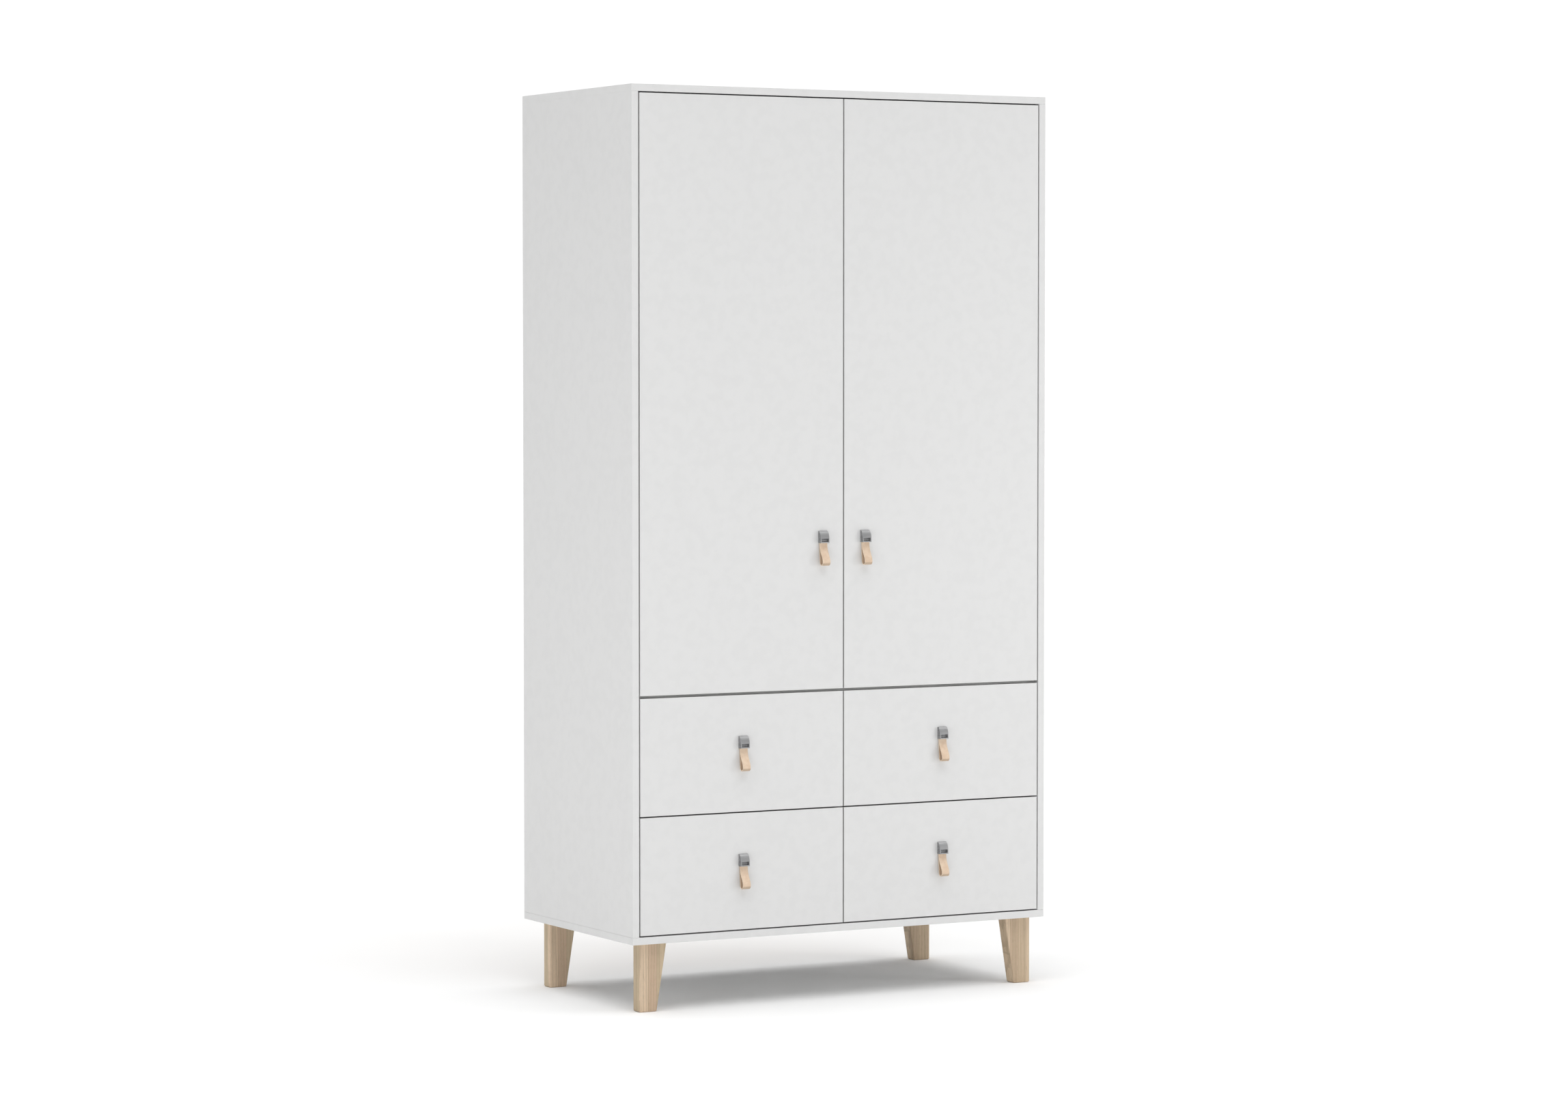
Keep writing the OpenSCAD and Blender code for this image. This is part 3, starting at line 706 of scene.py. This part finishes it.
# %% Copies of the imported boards
# Points closer together than this, in metres, are merged into one
WELD = 0.00001
# A point this near to a wall of a piece's box lies on it
ON_WALL = 0.02 * MM
# Faces that meet at more degrees than this make a corner, and less is shaded smooth
CLEAR_ANGLE = 40


def from_cad(node, name):
    """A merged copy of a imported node, with whole flat faces and no old normals."""
    piece = bpy.data.objects.new(name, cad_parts[node].data.copy())
    piece.data.name = name
    piece.data.materials.clear()
    scene.collection.objects.link(piece)
    alone(piece)
    bpy.ops.mesh.customdata_custom_splitnormals_clear()
    bpy.ops.object.mode_set(mode="EDIT")
    bpy.ops.mesh.select_all(action="SELECT")
    bpy.ops.mesh.remove_doubles(threshold=WELD)
    bpy.ops.mesh.dissolve_limited(angle_limit=math.radians(0.5))
    bpy.ops.object.mode_set(mode="OBJECT")
    return piece


def box_round(points):
    """Lowest and highest corner of a box round some points."""
    low = Vector([min(point[axis] for point in points) for axis in range(3)])
    high = Vector([max(point[axis] for point in points) for axis in range(3)])
    return low, high


def box_of(piece):
    """Lowest and highest corner of a mesh."""
    return box_round([vertex.co for vertex in piece.data.vertices])


def is_corner(edge, least=CLEAR_ANGLE):
    """Whether the faces beside an edge meet at a clear angle."""
    return len(edge.link_faces) == 2 and edge.calc_face_angle(0) > math.radians(least)


def mark(piece, name, rule):
    """Give each face's corners the value of a rule, 0 to 1, for a material to read."""
    layer = piece.data.attributes.get(name)
    if layer is None:
        layer = piece.data.attributes.new(name, "FLOAT", "CORNER")
    for face in piece.data.polygons:
        value = min(1.0, max(layer.data[face.loop_start].value, float(rule(face))))
        for corner in face.loop_indices:
            layer.data[corner].value = value


def soften(piece, width, steps, rule):
    """Round the edges that pass a rule, and mark the new faces."""
    low, high = box_of(piece)
    count = pick(piece, "EDGE", rule)
    bpy.ops.mesh.bevel(
        offset=width, segments=steps, profile=0.5, affect="EDGES", clamp_overlap=False
    )
    bpy.ops.object.mode_set(mode="OBJECT")
    mark(piece, "edge", lambda face: face.select)
    # Where a groove ends at an edge, the bevel can slide a point a hair too far out
    for vertex in piece.data.vertices:
        vertex.co = [min(max(v, a), b) for v, a, b in zip(vertex.co, low, high)]
    return count


def outline_rule(piece):
    """A rule for the twelve outer edges of a board."""
    low, high = box_of(piece)

    def on_outline(edge):
        walls = 0
        for axis in range(3):
            for wall in (low[axis], high[axis]):
                gaps = [abs(vertex.co[axis] - wall) for vertex in edge.verts]
                walls += max(gaps) < ON_WALL
        return walls >= 2 and is_corner(edge)

    return on_outline


def edge_strips(piece, film, shaded_edging):
    """Give a front its film, and on the faces across its thickness an edging that is greyer
    and painted darker as shade for the gaps.
    """
    piece.data.materials.append(film)
    piece.data.materials.append(shaded_edging)
    low, high = box_of(piece)
    for face in piece.data.polygons:
        middle = face.center
        walls = [abs(middle[a] - wall[a]) < ON_WALL for a in (0, 2) for wall in (low, high)]
        if any(walls):
            face.material_index = 1


def finish(piece, material, body, nodes=()):
    """Smooth the shading, give the piece its finish and hand it to its body."""
    alone(piece)
    bpy.ops.object.shade_smooth_by_angle(angle=math.radians(CLEAR_ANGLE))
    apply(piece, "WEIGHTED_NORMAL", keep_sharp=True)
    if not piece.data.materials:
        piece.data.materials.append(material)
    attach(piece, body)
    if nodes:
        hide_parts(*nodes)


# %% Carcass boards
CARCASS_BOARDS = [
    # node, finish, slot, rounding in millimetres
    ("top_panel", white_board, "white_board", 0.9),
    ("bottom_panel", white_board, "white_board", 0.9),
    ("left_side_panel", white_board, "white_board", 0.7),
    ("right_side_panel", white_board, "white_board", 0.7),
    ("middle_shelf", white_inner, "white_inner_board", 0.6),
    ("drawer_divider", white_inner, "white_inner_board", 0.6),
    ("hat_shelf", white_inner, "white_inner_board", 0.6),
]
for node, material, slot, rounding in CARCASS_BOARDS:
    board = from_cad(node, node + "_board")
    edges = soften(board, rounding * MM, 3, outline_rule(board))
    finish(board, material, "carcass", [node])
    print(board.name, edges, "edges rounded,", len(board.data.polygons), "faces")

# %% [markdown]
# A back panel shows white paint inside the wardrobe and raw fibre behind it. It is one
# sheet, so it stays one piece: a second material goes on every face but the painted one,
# because the sheet was sawn after it was painted and its thin edges are raw as well.

# %% Back panels
SHEET_ROUNDING = 0.3 * MM
for node in ("upper_back_panel", "lower_back_panel"):
    sheet = from_cad(node, node + "_sheet")
    soften(sheet, SHEET_ROUNDING, 1, outline_rule(sheet))
    sheet.data.materials.append(white_hardboard)
    sheet.data.materials.append(raw_fibre)
    bare = [face for face in sheet.data.polygons if face.normal.y > -0.5]
    for face in bare:
        face.material_index = 1
    finish(sheet, white_hardboard, "carcass", [node])
    print(sheet.name, len(bare), "raw faces")

# %% [markdown]
# A leg is sawn to a taper and then routed all round, which leaves soft upright edges. The
# copy already has the taper and the round lower corners, so only the two outlines that
# face front and back are bevelled. The screw holes inside stay as drilled.


# %% Legs
def both_faces_rule(piece):
    """A rule for the outlines of the front and back faces."""
    low, high = box_of(piece)

    def on_face(edge):
        for wall in (low.y, high.y):
            if all(abs(vertex.co.y - wall) < ON_WALL for vertex in edge.verts):
                return is_corner(edge)
        return False

    return on_face


LEG_ROUNDING = 2.8 * MM
for node in ("front_left_leg", "front_right_leg", "rear_left_leg", "rear_right_leg"):
    leg = from_cad(node, node + "_oak")
    edges = soften(leg, LEG_ROUNDING, 5, both_faces_rule(leg))
    finish(leg, oak, "carcass", [node])
    print(leg.name, edges, "edges rounded")

# %% [markdown]
# Each door and drawer front is an inset slab with eased edges. Film covers its two faces and
# a strip of edging its thickness, so a second material goes on the faces that lie on its
# outer walls. That edging is a little greyer than the film and painted darker still as shade,
# so that the gaps between the fronts look dark. The cups of the hinges sit in round pockets
# on the door's back, which the copy brings along. Drawer boxes are thinner boards with the
# same inner finish, and their bottoms are painted hardboard.

# %% Doors and drawer boards
FRONT_ROUNDING = 0.5
SIDES = ("left", "right")
DRAWERS = [f"{row}_{side}_drawer" for row in ("lower", "upper") for side in SIDES]
for side in SIDES:
    node = f"{side}_door_panel"
    door = from_cad(node, f"{side}_door_board")
    edges = soften(door, FRONT_ROUNDING * MM, 3, outline_rule(door))
    edge_strips(door, white_front, edging_and_gap_shade)
    finish(door, white_front, f"{side}_door", [node])
    print(door.name, edges, "edges rounded")

DRAWER_BOARDS = [
    # part, finish, slot, rounding in millimetres
    ("front", white_front, "white_front", FRONT_ROUNDING),
    ("left_side", white_inner, "white_inner_board", 0.6),
    ("right_side", white_inner, "white_inner_board", 0.6),
    ("back", white_inner, "white_inner_board", 0.6),
    ("bottom", white_hardboard, "white_hardboard", 0.3),
]
for drawer in DRAWERS:
    for part, material, slot, rounding in DRAWER_BOARDS:
        node = f"{drawer}_{part}"
        board = from_cad(node, node + "_board")
        soften(board, rounding * MM, 3, outline_rule(board))
        if part == "front":
            edge_strips(board, white_front, edging_and_gap_shade)
        finish(board, material, drawer, [node])
    print(drawer, "boards ready")

# %% [markdown]
# The handle's cap is a small casting. From the side it is a quarter of an ellipse. A block
# with one edge bevelled all the way round is a quarter of a circle, and squeezing that
# towards the front gives the ellipse. A slot for the strap is cut into it from below and a
# window across its front, with a thin rib left in the middle. Booleans are the plain way
# to cut both, and a fine bevel eases what is left.

# %% Cap of a handle
CAP_WIDTH = 22 * MM
CAP_HEIGHT = 27 * MM
CAP_OUT = 12 * MM
CAP_ROOT = 1 * MM
CAP_CURVE = 24 * MM
CAP_CHEEK = 2.2 * MM
CAP_EASING = 0.45 * MM
# With this many steps no edge of the curve comes close to the window's upper edge
CAP_STEPS = 18
# The slot and the window, counted out from the cap's back and up from its top
SLOT_HALF = 9.7 * MM
SLOT_OUT = (0.8 * MM, 5.2 * MM)
SLOT_TOP = -8.8 * MM
WINDOW = (-24.6 * MM, -17.0 * MM)
WINDOW_FLOOR = 6.5 * MM
RIB = (-21.2 * MM, -20.1 * MM)
RIB_OUT = 2.2 * MM
RIB_SUNK = 0.3 * MM
# The block starts deeper than the cap by just what the squeeze takes away
squeeze = (CAP_OUT - CAP_ROOT) / CAP_CURVE
front = CAP_ROOT + (CAP_OUT - CAP_ROOT) / squeeze
back = CAP_ROOT - CAP_ROOT / squeeze
half = CAP_WIDTH / 2
cap_master = block("cap_master", (-half, -front, -CAP_HEIGHT), (half, -back, 0))
pick(
    cap_master,
    "EDGE",
    lambda edge: all(v.co.z > -0.1 * MM and v.co.y < -front + 0.1 * MM for v in edge.verts),
)
bpy.ops.mesh.bevel(
    offset=CAP_CURVE, segments=CAP_STEPS, affect="EDGES", clamp_overlap=False
)
bpy.ops.mesh.select_all(action="SELECT")
bpy.ops.transform.resize(value=(1, squeeze, 1), center_override=(0, -CAP_ROOT, 0))
bpy.ops.object.mode_set(mode="OBJECT")


def cut_away(piece, low, high):
    """Take a cuboid out of a piece."""
    cutter = block("cutter", low, high)
    apply(piece, "BOOLEAN", object=cutter, operation="DIFFERENCE", solver="EXACT")
    bpy.data.objects.remove(cutter)


inner = half - CAP_CHEEK
cut_away(
    cap_master,
    (-SLOT_HALF, -SLOT_OUT[1], -CAP_HEIGHT - MM),
    (SLOT_HALF, -SLOT_OUT[0], SLOT_TOP),
)
cut_away(cap_master, (-inner, -CAP_OUT - MM, WINDOW[0]), (inner, -WINDOW_FLOOR, WINDOW[1]))
rib = block(
    "rib",
    (-inner - RIB_SUNK, -WINDOW_FLOOR - RIB_OUT, RIB[0]),
    (inner + RIB_SUNK, -WINDOW_FLOOR + RIB_SUNK, RIB[1]),
)
apply(cap_master, "BOOLEAN", object=rib, operation="UNION", solver="EXACT")
bpy.data.objects.remove(rib)
edges = soften(cap_master, CAP_EASING, 2, is_corner)


def gets_painted_cap_shade(face):
    """Faces that get painted shade: the cheeks and the inside of the window, but not its
    ledges or the rib's front.
    """
    cheek = abs(face.normal.x) > 0.6
    in_window = WINDOW[0] < face.center.z < WINDOW[1] and abs(face.center.x) < inner + MM
    deep = face.center.y > -CAP_OUT + 1.3 * MM
    ledge = abs(face.normal.z) >= 0.6
    rib_front = face.normal.y < -0.7 and face.center.y < -WINDOW_FLOOR - MM
    return cheek or (in_window and deep and not ledge and not rib_front)


# Mark the cheeks and the inside of the window for painted shade
mark(cap_master, "painted_cap_shade", gets_painted_cap_shade)
print("cap", edges, "edges eased, size", [round(v / MM, 2) for v in cap_master.dimensions])

# %% [markdown]
# The strap is one band of leather, folded once. Its two ends lie together inside the cap.
# Below the cap the front leaf swells outwards, turns in a tight bend and comes back up
# against the door. The line of the fold is drawn as a smooth curve from the side, widened to
# a ribbon and given its thickness. Then its long edges are eased and marked as cut. The
# underside of the bend is marked for painted shade, and so is the inside of the loop, where
# the flesh side is darker too.

# %% Strap of a handle
STRAP_WIDTH = 18.8 * MM
STRAP_THICKNESS = 1.9 * MM
STRAP_EASING = 0.4 * MM
# A handle of 0.5523 times the radius makes a quarter of a circle
ARC = 6.5 * 0.5523
FOLD = [
    # left handle, point and right handle, as (out from the front, up) in millimetres
    ((4.0, -7.0), (4.0, -9.6), (4.0, -16.0)),
    ((4.0, -21.0), (4.0, -27.0), (4.0, -50.5)),
    ((18.0, -56.1), (18.0, -69.5), (18.0, -69.5 - ARC)),
    ((11.5 + ARC, -76.0), (11.5, -76.0), (11.5 - ARC, -76.0)),
    ((5.0, -69.5 - ARC), (5.0, -69.5), (4.6, -58.5)),
    ((2.0, -45.0), (2.0, -27.0), (2.0, -21.0)),
    ((2.0, -16.0), (2.0, -9.6), (2.0, -7.0)),
]
bpy.ops.object.select_all(action="DESELECT")
line_data = bpy.data.curves.new("strap_master", "CURVE")
line_data.dimensions = "2D"
line_data.fill_mode = "NONE"
line_data.extrude = STRAP_WIDTH / 2
line_data.resolution_u = 14
spline = line_data.splines.new("BEZIER")
spline.bezier_points.add(len(FOLD) - 1)
for point, (before, here, after) in zip(spline.bezier_points, FOLD):
    point.handle_left_type = "FREE"
    point.handle_right_type = "FREE"
    point.handle_left = (before[0] * MM, before[1] * MM, 0)
    point.co = (here[0] * MM, here[1] * MM, 0)
    point.handle_right = (after[0] * MM, after[1] * MM, 0)
strap_master = bpy.data.objects.new("strap_master", line_data)
scene.collection.objects.link(strap_master)
alone(strap_master)
bpy.ops.object.convert(target="MESH")
strap_master = bpy.context.object
# The curve was drawn with x out of the front and y up: turn it to -y and z
strap_master.data.transform(Matrix(((0, 0, 1, 0), (-1, 0, 0, 0), (0, 1, 0, 0), (0, 0, 0, 1))))
pick(strap_master, "VERT", lambda vertex: True)
bpy.ops.mesh.remove_doubles(threshold=WELD)
bpy.ops.mesh.normals_make_consistent(inside=False)
bpy.ops.object.mode_set(mode="OBJECT")
apply(strap_master, "SOLIDIFY", thickness=STRAP_THICKNESS, offset=0.0, use_even_offset=True)
pick(strap_master, "VERT", lambda vertex: True)
bpy.ops.mesh.normals_make_consistent(inside=False)
bpy.ops.object.mode_set(mode="OBJECT")
soften(strap_master, STRAP_EASING, 2, lambda edge: is_corner(edge, 60))
mark(strap_master, "cut", lambda face: abs(face.normal.x) > 0.5)

# Heights in millimetres, counted up from the top of the cap
CAP_FOOT = -27
BEND_TOP = -60
# Mark for the flesh side inside the loop: darker as leather, with painted shade
FLESH_SHADE_TONE = 0.6


def bend_shade(face):
    """Painted shade under the bend where the faces look down, and on the darker flesh side
    inside the loop, which gets painted shade as well.
    """
    out, up = -face.center.y / MM, face.center.z / MM
    # The loop's front leaf shows its flesh side to the door, and its rear leaf away from it
    front_leaf = face.normal.y > 0.2 and out > 4.6
    rear_leaf = face.normal.y < -0.2 and out < (4.4 if up > -40 else 6.6)
    inside_bend = face.normal.z > 0.3 and up < -66
    if up < CAP_FOOT and (front_leaf or rear_leaf or inside_bend):
        return FLESH_SHADE_TONE
    # Faces under the bend that look down get painted shade, stronger the more they look down
    return -2.0 * face.normal.z if up < BEND_TOP else 0.0


mark(strap_master, "flesh_and_bend_shade", bend_shade)
print("strap", [round(v / MM, 2) for v in strap_master.dimensions], "mm")

# %% [markdown]
# All six handles are alike, so a cap and a strap are made once and copied. Each copy has a
# mesh of its own, moved to the place of its packed cap, and its object stays at the
# origin. So the noise in the finishes falls differently on every handle.

# %% Six handles
FRONTS = [f"{side}_door" for side in SIDES] + DRAWERS


def copy_to(master, name, place):
    """A copy of a master piece with its own mesh, moved by a matrix."""
    piece = bpy.data.objects.new(name, master.data.copy())
    piece.data.name = name
    piece.data.transform(place)
    scene.collection.objects.link(piece)
    return piece


for front_name in FRONTS:
    low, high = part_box(f"{front_name}_handle_cap")
    place = Matrix.Translation(((low.x + high.x) / 2, high.y, high.z))
    cap = copy_to(cap_master, f"{front_name}_cap", place)
    finish(cap, metals["cap_metal"], front_name, [f"{front_name}_handle_cap"])
    strap = copy_to(strap_master, f"{front_name}_strap", place)
    finish(strap, leather, front_name, [f"{front_name}_handle_strap"])
for master in (cap_master, strap_master):
    bpy.data.objects.remove(master)
print("handles", len(FRONTS))

# %% [markdown]
# Inside, the fittings tell that this is real furniture. Hinges, slides, the rail and its
# sockets, cams and wall brackets are copies of their nodes with a fine bevel, because
# stamped and cast parts never have sharp edges.

# %% Fittings
FITTINGS = [
    # node, body, finish, slot, easing in millimetres
    ("hinge_arms", "carcass", "hinge_metal", "hinge_metal", 0.3),
    ("left_door_hinge_cups", "left_door", "hinge_metal", "hinge_metal", 0.3),
    ("right_door_hinge_cups", "right_door", "hinge_metal", "hinge_metal", 0.3),
    ("cabinet_runners", "carcass", "runner_metal", "runner_metal", 0.25),
    ("hanging_rail", "carcass", "rail_metal", "rail_metal", 0.2),
    ("rail_sockets", "carcass", "hinge_metal", "rail_socket_metal", 0.5),
    ("cam_fasteners", "carcass", "cam_metal", "cam_metal", 0.25),
    ("wall_brackets", "carcass", "zinc_metal", "zinc_bracket", 0.3),
]
FITTINGS += [
    (f"{drawer}_runners", drawer, "runner_metal", "runner_metal", 0.25)
    for drawer in DRAWERS
]
for node, body, metal, slot, easing in FITTINGS:
    piece = from_cad(node, node + "_metal")
    edges = soften(piece, easing * MM, 2, is_corner)
    finish(piece, metals[metal], body, [node])
    print(piece.name, edges, "edges eased,", len(piece.data.polygons), "faces")
# The screws inside the legs don't show, so their node stays as it is, in zinc
for finish_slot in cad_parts["leg_screws"].material_slots:
    finish_slot.material = metals["zinc_metal"]

# %% [markdown]
# Screws hold the fittings, and their cross-slotted heads show wherever a door or a drawer
# is open. One head is modelled: a short disc with a rounded rim and a cross cut into it.
# It is then copied to each place, turned at random, because nobody lines up their screws.

# %% Screw heads
HEAD_RADIUS = 4 * MM
HEAD_HEIGHT = 1.8 * MM
HEAD_ROUNDING = 1.0 * MM
CROSS_REACH = 2.1 * MM
CROSS_HALF = 0.45 * MM
CROSS_DEPTH = 1.1 * MM
bpy.ops.object.select_all(action="DESELECT")
bpy.ops.mesh.primitive_cylinder_add(
    vertices=24, radius=HEAD_RADIUS, depth=HEAD_HEIGHT, location=(0, 0, HEAD_HEIGHT / 2)
)
head_master = bpy.context.object
bpy.ops.object.transform_apply(location=True, rotation=True, scale=True)
pick(
    head_master,
    "EDGE",
    lambda edge: is_corner(edge) and all(v.co.z > HEAD_HEIGHT * 0.9 for v in edge.verts),
)
bpy.ops.mesh.bevel(offset=HEAD_ROUNDING, segments=3, affect="EDGES")
bpy.ops.object.mode_set(mode="OBJECT")
for x, y in ((CROSS_REACH, CROSS_HALF), (CROSS_HALF, CROSS_REACH)):
    cut_away(
        head_master,
        (-x, -y, HEAD_HEIGHT - CROSS_DEPTH),
        (x, y, HEAD_HEIGHT + MM),
    )
print("screw head", len(head_master.data.polygons), "faces")


# %% Places for the screws
def solids(node):
    """Lowest and highest corner of each separate solid in a node."""
    shape = bmesh.new()
    shape.from_mesh(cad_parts[node].data)
    bmesh.ops.remove_doubles(shape, verts=shape.verts, dist=WELD)
    left = set(shape.verts)
    found = []
    while left:
        group = [left.pop()]
        points = []
        while group:
            vertex = group.pop()
            points.append(vertex.co.copy())
            for edge in vertex.link_edges:
                other = edge.other_vert(vertex)
                if other in left:
                    left.remove(other)
                    group.append(other)
        found.append(box_round(points))
    shape.free()
    return sorted(found, key=lambda pair: tuple(pair[0]))


SCREW_SEED = 7
turns = random.Random(SCREW_SEED)


def screw_heads(name, spots, body):
    """One piece of screw heads at (place, direction, radius) spots."""
    heads = []
    for number, (place, direction, radius) in enumerate(spots):
        turn = Vector((0, 0, 1)).rotation_difference(Vector(direction)).to_matrix()
        twist = Matrix.Rotation(turns.uniform(0, math.pi / 2), 4, "Z")
        size = Matrix.Scale(radius / HEAD_RADIUS, 4)
        where = Matrix.Translation(place) @ turn.to_4x4() @ twist @ size
        heads.append(copy_to(head_master, f"{name}_{number}", where))
    alone(heads[0])
    for head in heads:
        head.select_set(True)
    bpy.ops.object.join()
    heads[0].name = name
    finish(heads[0], metals["zinc_metal"], body)
    print(name, len(spots), "heads")


# %% [markdown]
# Two screws hold each hinge cup in its door, and two hold each mounting plate. Two more
# on the arm adjust it. The rail's sockets have one above and one below the rail, and every
# slide has three along its channel. A single screw from behind holds each handle.

# %% Screws of the hinge arms
PLATE_HEIGHT_LEAST = 30 * MM
PLATE_OUT = 4 * MM
PLATE_SCREW_RISE = 16 * MM
PLATE_SCREW = 3.6 * MM
ARM_OUT = 12 * MM
ARM_SCREWS_IN = (9 * MM, 34 * MM)
ARM_SCREW = 3.2 * MM
inner_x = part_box("left_side_panel")[1].x
spots = []
for low, high in solids("hinge_arms"):
    side = -1 if low.x < 0 else 1
    wall = side * abs(inner_x)
    middle = (low.z + high.z) / 2
    is_plate = high.z - low.z > PLATE_HEIGHT_LEAST
    if is_plate:
        for rise in (-PLATE_SCREW_RISE, PLATE_SCREW_RISE):
            spot = (wall - side * PLATE_OUT, (low.y + high.y) / 2, middle + rise)
            spots.append((spot, (-side, 0, 0), PLATE_SCREW))
    else:
        for depth in ARM_SCREWS_IN:
            spot = (wall - side * ARM_OUT, high.y - depth, middle)
            spots.append((spot, (-side, 0, 0), ARM_SCREW))
screw_heads("hinge_arm_screws", spots, "carcass")

# %% Screws of the doors
CUP_AXIS = 19.5 * MM
CUP_SCREW_IN = 9.5 * MM
CUP_SCREW_RISE = 24 * MM
CUP_SCREW = 3.4 * MM
HANDLE_SCREW_DROP = 14 * MM


def handle_screw(front_name, board):
    """The spot of the screw that holds a handle, on the back of its board."""
    low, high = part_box(f"{front_name}_handle_cap")
    back_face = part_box(board)[1].y
    spot = ((low.x + high.x) / 2, back_face, high.z - HANDLE_SCREW_DROP)
    return spot, (0, 1, 0), HEAD_RADIUS


for side, sign in (("left", 1), ("right", -1)):
    spots = []
    for low, high in solids(f"{side}_door_hinge_cups"):
        cup = low.x + CUP_AXIS if sign > 0 else high.x - CUP_AXIS
        for rise in (-CUP_SCREW_RISE, CUP_SCREW_RISE):
            spot = (cup + sign * CUP_SCREW_IN, high.y, (low.z + high.z) / 2 + rise)
            spots.append((spot, (0, 1, 0), CUP_SCREW))
    spots.append(handle_screw(f"{side}_door", f"{side}_door_panel"))
    screw_heads(f"{side}_door_screws", spots, f"{side}_door")

# %% Screws of the rail's sockets
SOCKET_PLATE = 3 * MM
SOCKET_SCREW_RISE = 19.3 * MM
SOCKET_SCREW = 3 * MM
spots = []
for low, high in solids("rail_sockets"):
    side = -1 if low.x < 0 else 1
    face = low.x + SOCKET_PLATE if side < 0 else high.x - SOCKET_PLATE
    for rise in (-SOCKET_SCREW_RISE, SOCKET_SCREW_RISE):
        spot = (face, (low.y + high.y) / 2, (low.z + high.z) / 2 + rise)
        spots.append((spot, (-side, 0, 0), SOCKET_SCREW))
screw_heads("rail_socket_screws", spots, "carcass")

# %% Screws of the slides and drawers
SLIDE_STEPS = (0.08, 0.45, 0.92)
SLIDE_SCREW = 3.2 * MM
STEEL = 1.2 * MM
cabinet_left_walls = (inner_x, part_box("drawer_divider")[1].x)
box_left_walls = [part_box(f"{drawer}_left_side")[0].x for drawer in DRAWERS]


def slide_spots(node, on_cabinet):
    """Three places along each channel, on the inner face of its web."""
    spots = []
    for low, high in solids(node):
        # The web lies flat on a cabinet board or on a drawer box, and the heads turn away
        if on_cabinet:
            toward = 1 if any(abs(low.x - x) < MM for x in cabinet_left_walls) else -1
        else:
            toward = -1 if any(abs(high.x - x) < MM for x in box_left_walls) else 1
        face = low.x + STEEL if toward > 0 else high.x - STEEL
        for share in SLIDE_STEPS:
            spot = (face, low.y + share * (high.y - low.y), (low.z + high.z) / 2)
            spots.append((spot, (toward, 0, 0), SLIDE_SCREW))
    return spots


screw_heads("cabinet_runner_screws", slide_spots("cabinet_runners", True), "carcass")
for drawer in DRAWERS:
    spots = slide_spots(f"{drawer}_runners", False)
    spots.append(handle_screw(drawer, f"{drawer}_front"))
    screw_heads(f"{drawer}_screws", spots, drawer)
bpy.data.objects.remove(head_master)
